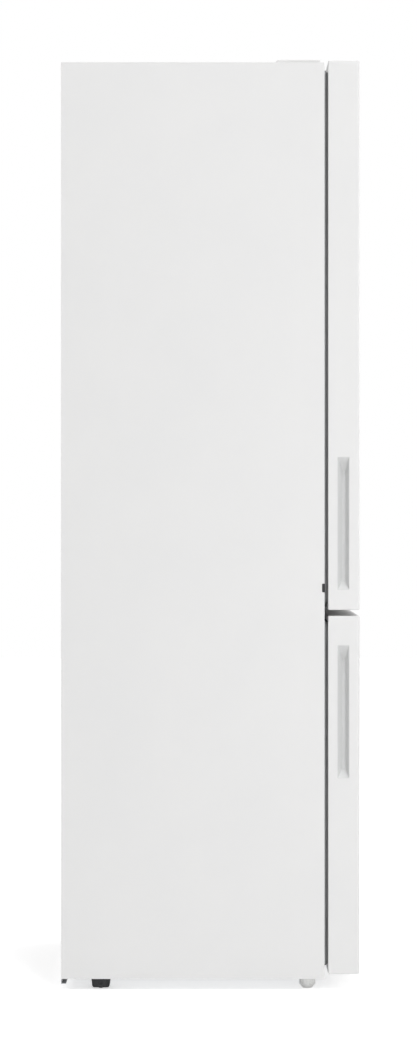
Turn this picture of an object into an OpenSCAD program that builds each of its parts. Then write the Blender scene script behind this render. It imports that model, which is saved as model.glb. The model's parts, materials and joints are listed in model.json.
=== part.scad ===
// Tall fridge freezer: a fridge compartment over a three-drawer freezer, in one insulated
// steel cabinet. Both doors hang on the right and have a finger recess in their left edge.
// The front faces -Y, the origin is on the floor under the middle of the whole appliance.

/* [Cabinet] */
// Width of the cabinet and of the doors
cab_w = 595; // [560:1:700]
// Height of the cabinet, from the lower edge of its side panels to its top
cab_h = 2000; // [1900:1:2100]
// Depth of the cabinet without the doors
cab_d = 575; // [550:1:650]
// Clear height between the floor and the side panels
floor_gap = 25; // [22:1:35]
// Steel sheet of the outer panels
sheet_t = 1; // [0.6:0.1:1.2]
// Folded edge of the side and top panels around the front
flange_w = 22; // [16:1:26]
// Steel sheet of the base plate
base_t = 1.5; // [1:0.1:2.5]
// Height of the base plate above the lower edge of the side panels
base_recess = 7; // [6:1:12]
// Plastic sheet of the two compartment liners and of the door liners
liner_t = 1.5; // [1:0.1:2.5]

/* [Insulation] */
// Side wall of the fridge compartment
fridge_wall = 50; // [42:1:56]
// Side wall of the freezer compartment
freezer_wall = 62; // [54:1:72]
// Insulated top of the cabinet
top_wall = 60; // [50:1:75]
// Insulated back of the cabinet
back_wall = 62; // [50:1:75]
// Insulation under the freezer compartment
floor_wall = 58; // [45:1:70]
// Insulated divider between the compartments
divider_t = 70; // [60:1:90]
// Insulation between the machine compartment and the freezer
step_wall = 54; // [45:1:65]
// Height of the front cross rail in the divider
rail_h = 54; // [46:1:58]

/* [Doors] */
// Thickness of the doors
door_t = 69; // [62:1:80]
// Gap between the doors and the cabinet, which the seals bridge
door_gap = 8; // [8:0.5:11]
// Height of the freezer door
lower_door_h = 782; // [740:1:820]
// Gap between the two doors
split_gap = 13; // [12:0.5:18]
// Height of the fridge door's top above the cabinet's top
door_rise = 4; // [3.8:0.1:4.8]
// Outer radius of the doors' front edges
door_r = 6; // [3:0.5:10]
// Thickness of the plastic caps that close the doors' ends
cap_t = 12; // [9:1:12]
// Folded edge of the door skin around its back
return_w = 14; // [10:1:16]
// Width of the magnetic seals
seal_w = 16; // [12:1:18]
// Clearance between a seal and the cabinet
seal_clear = 0.3; // [0.2:0.1:0.6]
// How far the doors open, in degrees
door_open = 120; // [100:1:125]

/* [Door recesses] */
// Length of the finger recesses
grip_len = 290; // [240:1:320]
// Width of the finger recesses
grip_w = 26; // [22:1:30]
// Depth of the finger recesses
grip_depth = 20; // [12:1:24]
// Wall of the moulded recess inserts
grip_wall = 2; // [1.5:0.1:3]
// Distance of the recesses from the front of the doors
grip_set = 23; // [20:1:28]
// Height of the upper recess above the fridge door's lower end
upper_grip_lift = 44; // [30:1:120]
// Distance of the lower recess from the freezer door's upper end
lower_grip_drop = 64; // [40:1:120]

/* [Hinges] */
// Radius of the hinge pins
pin_r = 4; // [3:0.1:5]
// Radial running clearance of the hinge pins in the door caps
pin_clear = 0.05; // [0.03:0.01:0.1]
// Distance of the hinge axis from the side of the doors
hinge_inset = 17.5; // [17:0.5:22]
// Distance of the hinge axis from the back of the doors
hinge_set = 35; // [30:1:38]
// Depth to which a pin enters its door cap
pin_reach = 20; // [16:1:22]
// Thickness of the middle and lower hinge brackets
bracket_t = 4; // [3:0.1:4.5]
// Thickness of the upper hinge bracket and of the middle bracket's wall plate
plate_t = 3; // [2:0.1:3]
// Play between a door and the washer under it
door_play = 0.5; // [0.3:0.1:0.8]

/* [Fridge interior] */
// Number of glass shelves over the crisper's cover
shelf_count = 3; // [2:1:4]
// Thickness of the shelf glass
glass_t = 4; // [3:0.5:5]
// Height of the crisper drawer
crisper_h = 208; // [160:1:220]
// Depth of the door bins
bin_depth = 114; // [90:1:116]
// Height of the small door bins
bin_h = 78; // [60:1:95]
// Height of the bottle bin
bottle_bin_h = 125; // [100:1:140]
// Wall of the bins and drawers
tub_wall = 2.5; // [2:0.1:3.5]
// Depth of the ridges of the fridge door's liner
ridge_d = 45; // [35:1:50]
// Height of the control box under the fridge's ceiling
control_h = 38; // [32:1:45]

/* [Freezer interior] */
// Height of the two upper freezer drawers
drawer_h = 205; // [150:1:208]
// Distance of the freezer drawers from the cabinet's front
drawer_set = 45; // [42:1:60]
// Raised middle of the freezer door's liner
pillow_d = 20; // [10:1:24]

/* [Machine compartment] */
// Depth of the machine compartment
comp_d = 220; // [200:1:240]
// Height of the machine compartment
comp_h = 232; // [225:1:260]
// Radius of the compressor's shell
compressor_r = 72; // [60:1:78]
// Height of the compressor's shell
compressor_h = 150; // [120:1:155]

/* [Feet and rollers] */
// Radius of the front feet
foot_r = 17.7; // [14:0.1:19]
// Radius of the rear rollers
roller_r = 14; // [12:0.5:15]
// Width of the rear rollers
roller_w = 20; // [16:1:24]
// Distance of feet and rollers from the cabinet's sides
foot_inset = 35.5; // [34:0.5:42]
// Distance of the front feet from the cabinet's front
foot_set = 36; // [30:1:50]
// Distance of the rear rollers from the cabinet's back
roller_set = 86; // [60:1:100]
// How far a front foot screws out
foot_travel = 15; // [8:1:18]

/* [Hidden] */
$fn = 48;

// planes of the cabinet and the doors
total_d = cab_d + door_gap + door_t;
face_y = -total_d / 2;
door_back_y = face_y + door_t;
front_y = door_back_y + door_gap;
back_y = total_d / 2;
side_x = cab_w / 2;
shell_x = side_x - sheet_t;
lip_x = side_x - flange_w;
cab_z0 = floor_gap;
cab_z1 = cab_z0 + cab_h;
base_z0 = cab_z0 + base_recess;
base_z1 = base_z0 + base_t;
foam_y0 = front_y + liner_t;
washer_h = 2.5;
lower_z0 = base_z0 + washer_h + door_play;
lower_z1 = lower_z0 + lower_door_h;
upper_z0 = lower_z1 + split_gap;
upper_z1 = cab_z1 + door_rise;
split_z = (lower_z1 + upper_z0) / 2;
trim_h = 5;
trim_y0 = front_y + 9.5;
trim_y1 = trim_y0 + 98;
trim_slope = 6;
lower_grip_z0 = lower_z1 - lower_grip_drop - grip_len;
upper_grip_z0 = upper_z0 + upper_grip_lift;
plug_z0 = split_z + 45;
plug_z1 = plug_z0 + 19;
plug_proud = 0.8;

// compartments
corner_r = 14;
fridge_x = side_x - fridge_wall;
fridge_z0 = split_z + divider_t / 2;
fridge_z1 = cab_z1 - top_wall;
freezer_x = side_x - freezer_wall;
freezer_z0 = base_z1 + floor_wall;
freezer_z1 = split_z - divider_t / 2;
cavity_y1 = back_y - back_wall;
comp_y0 = back_y - comp_d;
comp_z1 = base_z1 + comp_h;
step_y = comp_y0 - sheet_t - step_wall;
step_z = comp_z1 + sheet_t + step_wall;
base_flange_z1 = base_z1 + 22;

// hinge axis and brackets
hinge_x = side_x - hinge_inset;
hinge_y = door_back_y - hinge_set;
bore_r = pin_r + pin_clear;
bore_depth = pin_reach + 2;
boss_r = pin_r + 7;
boss_end = bore_depth + 2;
washer_r = pin_r + 4;
arm_r = 12;
top_arm_r = 10;
nose_r = top_arm_r + 2;
nose_clear = 0.3;
notch_drop = 1.5;
top_notch = door_rise + notch_drop;
swing_past = max(0, door_open - 90);
notch_front = hinge_y - (hinge_inset * tan(swing_past) + nose_r / cos(swing_past) + 1);
plate_left_x = hinge_x - 40;
top_plate_y0 = front_y + 14;
top_plate_y1 = front_y + 80;
middle_plate_h = 30;
hinge_screw_r = 2.5;
hinge_screw_len = 12;
screw_clear = 0.1;
screw_edge = 10;
middle_screw_x = plate_left_x + 8;
middle_screw_dz = 8;

// feet and rollers
foot_x = side_x - foot_inset;
foot_y = front_y + foot_set;
foot_top_z = base_z0 - bracket_t - 0.5;
bottom_plate_x0 = foot_x - 16;
bottom_plate_dy = 26;
stud_r = 5;
nut_r = 9;
nut_h = 10;
stud_z1 = base_z1 + nut_h + foot_travel + 2;
roller_y = back_y - roller_set;
axle_r = 3;
well_x = roller_w / 2 + 1.5;
well_y = roller_r + 2;
housing_x = well_x + 4;
housing_y0 = 19;
housing_y1 = 22;
housing_z0 = 2.5;
pad_y = 12;
pad_z = [10, 21];
pad_proud = 1;
rail_z0 = 14;
rail_lip = 11;

// insides of the fridge
bin_back_y = door_back_y + 0.3;
bin_front_y = bin_back_y + bin_depth;
ridge_x1 = fridge_x - 22;
ridge_w = 20;
ridge_x0 = ridge_x1 - ridge_w;
ridge_z0 = fridge_z0 + 23;
ridge_z1 = fridge_z1 - 20;
bin_x = ridge_x0 - 2.5;
bin_z0 = ridge_z0 + ridge_w + 4;
bin_top_z = ridge_z1 - ridge_w - 125 - bin_h;
bin_pitch = (bin_top_z - bin_z0 - bottle_bin_h + bin_h) / 3;
shelf_y0 = bin_front_y + 9;
shelf_y1 = cavity_y1 - 34;
shelf_edge = 14;
shelf_trim_drop = 8;
shelf_trim_rise = 3;
run_gap = 0.5;
crisper_z0 = fridge_z0 + run_gap;
crisper_z1 = crisper_z0 + crisper_h;
crisper_cover_z = crisper_z1 + 16;
shelf_pitch = (fridge_z1 - control_h - crisper_cover_z) / (shelf_count + 1);
shelf_z = [for (i = [0 : shelf_count]) crisper_cover_z + i * shelf_pitch];
rib_w = 10;
rib_h = 8;
duct_x = 85;
duct_y0 = shelf_y1 + 10;
duct_wall = 2;
duct_z1 = fridge_z1 - control_h - 30;
channel_x = 40;
channel_y0 = duct_y0 + duct_wall + 2;
channel_y1 = cavity_y1 - 4;

// control box under the ceiling
control_x = 150;
control_y0 = shelf_y0 + 7;
control_d = 200;
control_z0 = fridge_z1 - control_h;
control_mid_z = fridge_z1 - control_h / 2;
control_wall = 2;
dial_x = 60;
dial_r = 15;
button_x = 110;
button_r = 6;
button_travel = 2;
lens_x = 80;
lens_y0 = control_y0 + 60;
lens_y1 = lens_y0 + 70;

// insides of the freezer
drawer_y0 = front_y + drawer_set;
drawer_front_x = freezer_x - 19.5;
drawer_tub_x = drawer_front_x - 5;
cover_y0 = cavity_y1 - 81;
cover_t = 3;
freezer_shelf_z = [step_z - glass_t, step_z + drawer_h + 21];
freezer_shelf_y0 = drawer_y0 + 6;
freezer_shelf_y1 = cover_y0 - 6;
middle_z0 = step_z + run_gap;
top_z0 = freezer_shelf_z[1] + glass_t + run_gap;
bottom_z0 = freezer_z0 + run_gap;
bottom_z1 = freezer_shelf_z[0] - rib_h - 8;
fan_z = freezer_z1 - 88;
fan_r = 42;
fan_hole_r = 46;
slot_x1 = freezer_x - 45.5;
slot_w = 100;
slot_h = 6;
slot_pitch = 14;
intake_w = 28;
intake_pitch = 42;
fan_hub_r = 14;
fan_y0 = cover_y0 + cover_t + 12;
fan_w = 16;
shaft_r = 2;
motor_y0 = fan_y0 + fan_w + 6;

// machine compartment
comp_x = side_x - 187.5;
comp_yc = comp_y0 + comp_d / 2;
leg_z = base_z1 + 16;
leg_t = 3;
leg_dx = 75;
leg_dy = 45;
shell_z0 = leg_z + leg_t;
shell_z1 = shell_z0 + compressor_h;
tray_h = 30;
tray_dx = 95;
tray_dy = 75;
drain_x = comp_x - 50;
drain_r = 8;
drain_wall = 2;
drain_z0 = shell_z1 + 12;
coil_r = 2.4;
bend_bead = 0.15;
coil_groove = 2 * coil_r + 0.4;
coil_x = shell_x - coil_groove / 2;
coil_legs = 5;
coil_pitch = (cab_d - 215) / (coil_legs - 1);
coil_bend = coil_pitch / 2;
coil_y = [for (i = [0 : coil_legs - 1]) back_y - 76 - i * coil_pitch];
coil_z0 = comp_z1 + 70;
coil_z1 = fridge_z1 - 120;
coil_end_z = comp_z1 - 85;

// evaporator, and the lines between it, the compressor and the condenser
evap_x = freezer_x - 50.5;
evap_y0 = cover_y0 + cover_t + 8;
evap_row = 26;
evap_levels = 4;
evap_pitch = 30;
evap_tube_r = 4;
evap_z0 = step_z + 20;
fin_count = 15;
fin_t = 1;
port_z = shell_z0 + 60;
port_r = 7;
port_reach = compressor_r + 6;
discharge_x = comp_x - 20;
discharge_y = back_y - 14;
line_r = evap_tube_r;
line_x = comp_x + tray_dx + 15;
line_y = evap_y0 + evap_row * 1.5;
drier_x = line_x + 30;
drier_r = 8;
drier_len = 75;

// A plain block between two corners
module block(lo, hi) translate(lo) cube(hi - lo);

// A rectangle about its middle with round corners
module round_rect(w, h, r) {
    square([w - 2 * r, h], center = true);
    square([w, h - 2 * r], center = true);
    for (x = [-1, 1], y = [-1, 1])
        translate([x * (w / 2 - r), y * (h / 2 - r)]) circle(r);
}

// A block whose upright edges are round
module tall_block(lo, hi, r)
    translate([(lo.x + hi.x) / 2, (lo.y + hi.y) / 2, lo.z])
        linear_extrude(hi.z - lo.z) round_rect(hi.x - lo.x, hi.y - lo.y, r);

// A block whose edges from front to back are round
module deep_block(lo, hi, r)
    translate([(lo.x + hi.x) / 2, hi.y, (lo.z + hi.z) / 2]) rotate([90, 0, 0])
        linear_extrude(hi.y - lo.y) round_rect(hi.x - lo.x, hi.z - lo.z, r);

// An open-topped tub
module tub(lo, hi, r) difference() {
    tall_block(lo, hi, r);
    tall_block(lo + [tub_wall, tub_wall, tub_wall], hi + [-tub_wall, -tub_wall, 1],
        r - tub_wall);
}

// A bent round bar through a list of points
module bar_path(points, r) for (i = [1 : len(points) - 1]) {
    step = points[i] - points[i - 1];
    translate(points[i - 1])
        rotate([0, acos(step.z / norm(step)), atan2(step.y, step.x)])
            cylinder(h = norm(step), r = r);
    if (i < len(points) - 1) translate(points[i]) sphere(r + bend_bead);
}

module both_sides() {
    children();
    mirror([1, 0, 0]) children();
}

// Countersunk screw along -Z, its head flush with z = 0
module screw(grow = 0) {
    head_r = hinge_screw_r + 2.3;
    head_h = 2.3;
    translate([0, 0, -head_h])
        cylinder(h = head_h, r1 = hinge_screw_r + grow, r2 = head_r + grow);
    translate([0, 0, -hinge_screw_len]) cylinder(h = hinge_screw_len, r = hinge_screw_r + grow);
}

module top_screws(grow = 0)
    for (p = [[plate_left_x + screw_edge, top_plate_y0 + screw_edge],
              [plate_left_x + screw_edge, top_plate_y1 - screw_edge],
              [hinge_x, top_plate_y1 - screw_edge]])
        translate([p.x, p.y, cab_z1 + plate_t]) screw(grow);

module middle_screws(grow = 0)
    for (dz = [-middle_screw_dz, middle_screw_dz])
        translate([middle_screw_x, front_y - plate_t, split_z + dz])
            rotate([90, 0, 0]) screw(grow);

module bottom_screws(grow = 0)
    for (side = [-1, 1])
        translate([hinge_x + 5, foot_y + side * (bottom_plate_dy - screw_edge),
            base_z0 - bracket_t]) rotate([180, 0, 0]) screw(grow);

// Clip that fills a notch in the left front edge of the cabinet
module edge_plug() block([-side_x, front_y - plug_proud, plug_z0],
    [-side_x + flange_w / 2, front_y + 5.5, plug_z1]);

// Sheet steel side with its front edge folded in
module side_panel() color("whitesmoke") {
    block([shell_x, front_y, cab_z0], [side_x, back_y, cab_z1]);
    block([lip_x, front_y, base_z1], [side_x, front_y + sheet_t, cab_z1 - sheet_t]);
}

module side_panel_right() side_panel();

module side_panel_left() difference() {
    mirror([1, 0, 0]) side_panel();
    edge_plug();
}

module top_panel() color("whitesmoke") difference() {
    union() {
        block([-shell_x, front_y, cab_z1 - sheet_t], [shell_x, back_y, cab_z1]);
        block([-lip_x, front_y, cab_z1 - flange_w], [lip_x, front_y + sheet_t, cab_z1]);
    }
    top_screws(screw_clear);
}

// Way of the melt water from the freezer's rear floor to the tray on the compressor
module drain(z0, r) translate([drain_x, comp_yc, z0]) cylinder(h = step_z + 1 - z0, r = r);

// Way of the suction line through the same floor
module line_bore() translate([line_x, line_y, comp_z1 - 1])
    cylinder(h = step_z - comp_z1 + 2, r = line_r + 0.4);

// Back sheet with the folds that line the machine compartment
module back_panel() color("gainsboro") difference() {
    union() {
        block([-shell_x, back_y - sheet_t, comp_z1], [shell_x, back_y, cab_z1 - sheet_t]);
        block([-shell_x, comp_y0 - sheet_t, comp_z1], [shell_x, back_y, comp_z1 + sheet_t]);
        block([-shell_x, comp_y0 - sheet_t, base_z1],
            [shell_x, comp_y0, comp_z1 + sheet_t]);
    }
    drain(comp_z1 - 1, drain_r);
    line_bore();
    both_sides() coil_slots();
}

module fridge_space(grow = 0) block([-fridge_x - grow, front_y, fridge_z0 - grow],
    [fridge_x + grow, cavity_y1 + grow, fridge_z1 + grow]);

module freezer_space(grow = 0) {
    block([-freezer_x - grow, front_y, freezer_z0 - grow],
        [freezer_x + grow, step_y + grow, freezer_z1 + grow]);
    block([-freezer_x - grow, front_y, step_z - grow],
        [freezer_x + grow, cavity_y1 + grow, freezer_z1 + grow]);
}

module air_channel() block([-channel_x, channel_y0, freezer_z1 - 5],
    [channel_x, channel_y1, fridge_z0 + 5]);

// Grooves for the legs of one side's condenser tube, and the pockets for its bends
module coil_slots() {
    half = coil_groove / 2;
    bend = coil_bend + half;
    for (i = [0 : coil_legs - 1])
        block([coil_x - half, coil_y[i] - half, i == 0 ? comp_z1 - 1 : coil_z0 - 1],
            [shell_x, coil_y[i] + half, coil_z1 + 1]);
    for (z = [coil_z0 - bend, coil_z1])
        block([coil_x - half, coil_y[coil_legs - 1] - half, z],
            [shell_x, coil_y[0] + half, z + bend]);
}

// Polyurethane foam that fills the space between the outer sheets and the liners
module foam_body() color("khaki") difference() {
    block([-shell_x, foam_y0, base_z1], [shell_x, back_y - sheet_t, cab_z1 - sheet_t]);
    fridge_space(liner_t);
    freezer_space(liner_t);
    block([-side_x, comp_y0 - sheet_t, cab_z0], [side_x, back_y, comp_z1 + sheet_t]);
    air_channel();
    drain(comp_z1, drain_r);
    line_bore();
    both_sides() {
        coil_slots();
        block([foot_x - nut_r - 1, foot_y - nut_r - 1, base_z0],
            [foot_x + nut_r + 1, foot_y + nut_r + 1, stud_z1 + 3]);
    }
    top_screws(screw_clear);
    middle_screws(screw_clear);
    mirror([1, 0, 0]) middle_screws(screw_clear);
    bottom_screws(screw_clear);
    edge_plug();
}

// Side ribs that carry a shelf
module shelf_ribs(x, y0, y1, z) both_sides()
    block([x - rib_w, y0, z - rib_h], [x + liner_t, y1, z]);

module fridge_liner() color("white") difference() {
    union() {
        difference() {
            fridge_space(liner_t);
            deep_block([-fridge_x, front_y - 1, fridge_z0], [fridge_x, cavity_y1, fridge_z1],
                corner_r);
        }
        difference() {
            block([-lip_x, front_y, split_z + rail_h / 2],
                [lip_x, foam_y0, cab_z1 - flange_w]);
            fridge_space();
        }
        for (z = shelf_z)
            shelf_ribs(fridge_x, shelf_y0 + shelf_edge + 2, shelf_y1 - shelf_edge - 2, z);
    }
    air_channel();
}

// Freezer liner with the spout of its melt water drain
module freezer_liner() color("white") difference() {
    union() {
        drain(drain_z0, drain_r);
        difference() {
            freezer_space(liner_t);
            deep_block([-freezer_x, front_y - 1, freezer_z0], [freezer_x, step_y, freezer_z1],
                corner_r);
            deep_block([-freezer_x, front_y - 1, step_z], [freezer_x, cavity_y1, freezer_z1],
                corner_r);
        }
        difference() {
            block([-lip_x, front_y, base_flange_z1], [lip_x, foam_y0, split_z - rail_h / 2]);
            freezer_space();
        }
        shelf_ribs(freezer_x, freezer_shelf_y0, step_y, freezer_shelf_z[0]);
        shelf_ribs(freezer_x, freezer_shelf_y0, freezer_shelf_y1, freezer_shelf_z[1]);
    }
    air_channel();
    drain(drain_z0 - 1, drain_r - drain_wall);
    line_bore();
}

// Steel floor with the foot nuts, a turned-up front edge and a folded rear rail
module base_plate() color("silver") difference() {
    union() {
        block([-shell_x, front_y, base_z0], [shell_x, back_y, base_z1]);
        block([-lip_x, front_y, base_z0], [lip_x, foam_y0, base_flange_z1]);
        block([-shell_x, back_y - base_t, rail_z0], [shell_x, back_y, base_z1]);
        block([-shell_x, back_y - rail_lip, rail_z0], [shell_x, back_y, rail_z0 + base_t]);
        both_sides() translate([foot_x, foot_y, base_z1]) cylinder(h = nut_h, r = nut_r);
    }
    both_sides() translate([foot_x, foot_y, base_z0 - 1])
        cylinder(h = nut_h + base_t + 2, r = stud_r + screw_clear);
    bottom_screws(screw_clear);
}

// Moulded housings of the rear rollers: tapered boxes, open below, with a pad round the axle
module roller_housings() color([0.13, 0.13, 0.14]) both_sides()
    translate([foot_x, roller_y, 0]) difference() {
        edge = 3;
        union() {
            translate([-housing_x, 0, 0]) rotate([90, 0, 90]) linear_extrude(2 * housing_x)
                polygon([[-housing_y1, base_z0], [-housing_y0, housing_z0 + edge],
                    [-housing_y0 + edge, housing_z0], [housing_y0 - edge, housing_z0],
                    [housing_y0, housing_z0 + edge], [housing_y1, base_z0]]);
            block([-housing_x - pad_proud, -pad_y, pad_z[0]],
                [housing_x + pad_proud, pad_y, pad_z[1]]);
        }
        block([-well_x, -well_y, -1], [well_x, well_y, 2 * roller_r + 1.5]);
        for (x = [-housing_x, housing_x], y = [-1, 1])
            translate([x, y * (pad_y + 2.5), (housing_z0 + base_z0) / 2])
                cube([3, 5, base_z0 - housing_z0 - 10], center = true);
        translate([-2 * housing_x, 0, roller_r]) rotate([0, 90, 0])
            cylinder(h = 4 * housing_x, r = axle_r + pin_clear);
    }

// Front cross rail between the compartments
module center_rail() color("whitesmoke") difference() {
    block([-lip_x, front_y, split_z - rail_h / 2], [lip_x, foam_y0, split_z + rail_h / 2]);
    middle_screws(screw_clear);
    mirror([1, 0, 0]) middle_screws(screw_clear);
}

// Flat bracket from a plate on the cabinet to the hinge axis, and the room for it
module hinge_arm(z0, z1, r, y1) {
    block([hinge_x - r, hinge_y, z0], [hinge_x + r, y1, z1]);
    translate([hinge_x, hinge_y, z0]) cylinder(h = z1 - z0, r = r);
}

module top_bracket(z0, z1, grow = 0) {
    block([plate_left_x - grow, top_plate_y0 - grow, z0],
        [hinge_x + top_arm_r + grow, top_plate_y1 + grow, z1]);
    hinge_arm(z0, z1, top_arm_r + grow, top_plate_y0 + 1);
}

// Full-width plastic trim on the front of the top, with a nose over the upper hinge
module top_trim() color("white") difference() {
    union() {
        translate([-side_x, 0, 0]) rotate([90, 0, 90]) linear_extrude(cab_w)
            polygon([[trim_y0, cab_z1], [trim_y1, cab_z1],
                [trim_y1 - trim_slope, cab_z1 + trim_h], [trim_y0, cab_z1 + trim_h]]);
        hinge_arm(cab_z1, cab_z1 + trim_h, nose_r, trim_y0 + 1);
    }
    top_bracket(cab_z1 - 1, cab_z1 + plate_t + nose_clear, nose_clear);
}

module hinge_pin(z0, z1) translate([hinge_x, hinge_y, z0]) cylinder(h = z1 - z0, r = pin_r);

module top_hinge() color("darkgray") difference() {
    union() {
        top_bracket(cab_z1, cab_z1 + plate_t);
        hinge_pin(cab_z1 - notch_drop - pin_reach, cab_z1 + 1);
    }
    top_screws(screw_clear);
}

module middle_hinge() color("darkgray") difference() {
    union() {
        block([plate_left_x, front_y - plate_t, split_z - middle_plate_h / 2],
            [hinge_x + arm_r, front_y, split_z + middle_plate_h / 2]);
        hinge_arm(split_z - bracket_t / 2, split_z + bracket_t / 2, arm_r, front_y - 1);
        hinge_pin(lower_z1 - pin_reach, upper_z0 + pin_reach);
        translate([hinge_x, hinge_y, lower_z1 + door_play])
            cylinder(h = split_gap - 2 * door_play, r = washer_r);
    }
    middle_screws(screw_clear);
}

module bottom_hinge() color("darkgray") difference() {
    union() {
        block([bottom_plate_x0, foot_y - bottom_plate_dy, base_z0 - bracket_t],
            [hinge_x + arm_r, foot_y + bottom_plate_dy, base_z0]);
        hinge_arm(base_z0 - bracket_t, base_z0, arm_r, foot_y);
        hinge_pin(base_z0 - bracket_t, lower_z0 + pin_reach);
        translate([hinge_x, hinge_y, base_z0]) cylinder(h = washer_h, r = washer_r);
    }
    translate([foot_x, foot_y, base_z0 - bracket_t - 1])
        cylinder(h = bracket_t + 2, r = stud_r + 0.6);
    bottom_screws(screw_clear);
}

module hinge_screws() color("silver") {
    top_screws();
    middle_screws();
    bottom_screws();
}

// Black caps over the unused hinge points on the left
module hinge_plugs() color("black") {
    edge_plug();
    mirror([1, 0, 0]) for (dz = [-middle_screw_dz, middle_screw_dz])
        translate([middle_screw_x, front_y, split_z + dz]) rotate([90, 0, 0]) {
            cylinder(h = plug_proud, r = hinge_screw_r + 3);
            translate([0, 0, -6]) cylinder(h = 6, r = hinge_screw_r);
        }
}

// Hermetic compressor on its foot plate, with the start relay's cover on its side
module compressor() color([0.12, 0.12, 0.13]) difference() {
    translate([comp_x, comp_yc, 0]) {
        translate([0, 0, shell_z0]) rotate_extrude() intersection() {
            translate([0, compressor_h / 2]) round_rect(2 * compressor_r, compressor_h, 40);
            square([compressor_r, compressor_h]);
        }
        translate([0, 0, shell_z0 + compressor_h / 2 - 5])
            cylinder(h = 10, r = compressor_r + 3);
        block([-leg_dx - 15, -leg_dy - 14, leg_z], [leg_dx + 15, leg_dy + 14, shell_z0 + 1]);
        translate([0, 0, shell_z0]) cylinder(h = 12, r = compressor_r - 26);
        block([-compressor_r - 26, -28, shell_z0 + 36], [-compressor_r + 12, 28, shell_z0 + 100]);
        translate([0, line_y - comp_yc, port_z]) rotate([0, 90, 0])
            cylinder(h = port_reach, r = port_r);
        translate([discharge_x - comp_x, 0, port_z]) rotate([-90, 0, 0])
            cylinder(h = port_reach, r = port_r);
    }
    for (x = [-1, 1], y = [-1, 1])
        translate([comp_x + x * leg_dx, comp_yc + y * leg_dy, leg_z - 1])
            cylinder(h = leg_t + 4, r = 4.2);
}

// Rubber grommets under the four corners of the compressor's foot plate
module compressor_mounts() color("dimgray") for (x = [-1, 1], y = [-1, 1])
    translate([comp_x + x * leg_dx, comp_yc + y * leg_dy, 0]) {
        translate([0, 0, base_z1]) cylinder(h = leg_z - base_z1, r = 11);
        translate([0, 0, leg_z]) cylinder(h = leg_t + 2, r = 4);
        translate([0, 0, shell_z0 + 1]) cylinder(h = 4, r = 8);
    }

// Tray on the compressor in which the melt water evaporates
module drip_tray() color("darkslategray") tub(
    [comp_x - tray_dx, comp_yc - tray_dy, shell_z1],
    [comp_x + tray_dx, comp_yc + tray_dy, shell_z1 + tray_h], 12);

// Half turn of a round tube that opens along -X, in the XY plane
module half_turn(bend_r, tube_r)
    rotate([0, 0, -90]) rotate_extrude(angle = 180) translate([bend_r, 0]) circle(tube_r);

// Serpentine condenser tubes against the inside of both side panels
module condenser_coils() color("peru") both_sides() {
    for (i = [0 : coil_legs - 1]) {
        z0 = i == 0 ? coil_end_z : coil_z0;
        translate([coil_x, coil_y[i], z0]) cylinder(h = coil_z1 - z0, r = coil_r);
    }
    for (i = [0 : coil_legs - 2]) {
        top = i % 2 == 0;
        translate([coil_x, coil_y[i] - coil_bend, top ? coil_z1 : coil_z0])
            rotate([0, top ? -90 : 90, 0]) half_turn(coil_bend, coil_r);
    }
}

// Discharge line, suction line and drier between compressor, condenser and evaporator
module refrigerant_lines() color("peru") {
    turn = 10;
    bar_path([[discharge_x, comp_yc + port_reach, port_z], [discharge_x, discharge_y, port_z],
        [-coil_x + turn, discharge_y, port_z], [-coil_x + turn, coil_y[0], port_z],
        [-coil_x, coil_y[0], port_z + turn], [-coil_x, coil_y[0], coil_end_z]], coil_r);
    bar_path([[coil_x, coil_y[0], coil_end_z], [coil_x, coil_y[0], coil_end_z - turn],
        [drier_x, coil_y[0], coil_end_z - turn], [drier_x, coil_y[0], coil_end_z - 3 * turn]],
        coil_r);
    translate([drier_x, coil_y[0], coil_end_z - 2 * turn - drier_len])
        cylinder(h = drier_len, r = drier_r);
    bar_path([[comp_x + port_reach, line_y, port_z], [line_x, line_y, port_z],
        [line_x, line_y, evap_z0 + evap_pitch / 2], [evap_x, line_y, evap_z0 + evap_pitch / 2]],
        line_r);
}

// Finned tube evaporator behind the freezer's back cover, in two rows joined at the top
module evaporator() color("lightgray") {
    for (i = [0 : fin_count - 1]) {
        x = -evap_x + 12 + i * (2 * evap_x - 24) / (fin_count - 1);
        end_fin = i == 0 || i == fin_count - 1;
        block([x - fin_t / 2, evap_y0, end_fin ? step_z : evap_z0],
            [x + fin_t / 2, evap_y0 + 2 * evap_row, evap_z0 + evap_levels * evap_pitch]);
    }
    for (row = [0, 1]) translate([0, evap_y0 + evap_row * (row + 0.5), evap_z0]) {
        for (level = [0 : evap_levels - 1])
            translate([-evap_x, 0, evap_pitch * (level + 0.5)])
                rotate([0, 90, 0]) cylinder(h = 2 * evap_x, r = evap_tube_r);
        for (level = [1 : evap_levels - 1]) mirror([level % 2, 0, 0])
            translate([evap_x, 0, evap_pitch * level])
                rotate([90, 0, 0]) half_turn(evap_pitch / 2, evap_tube_r);
    }
    translate([evap_x, evap_y0 + evap_row, evap_z0 + evap_pitch * (evap_levels - 0.5)])
        half_turn(evap_row / 2, evap_tube_r);
}

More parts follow.
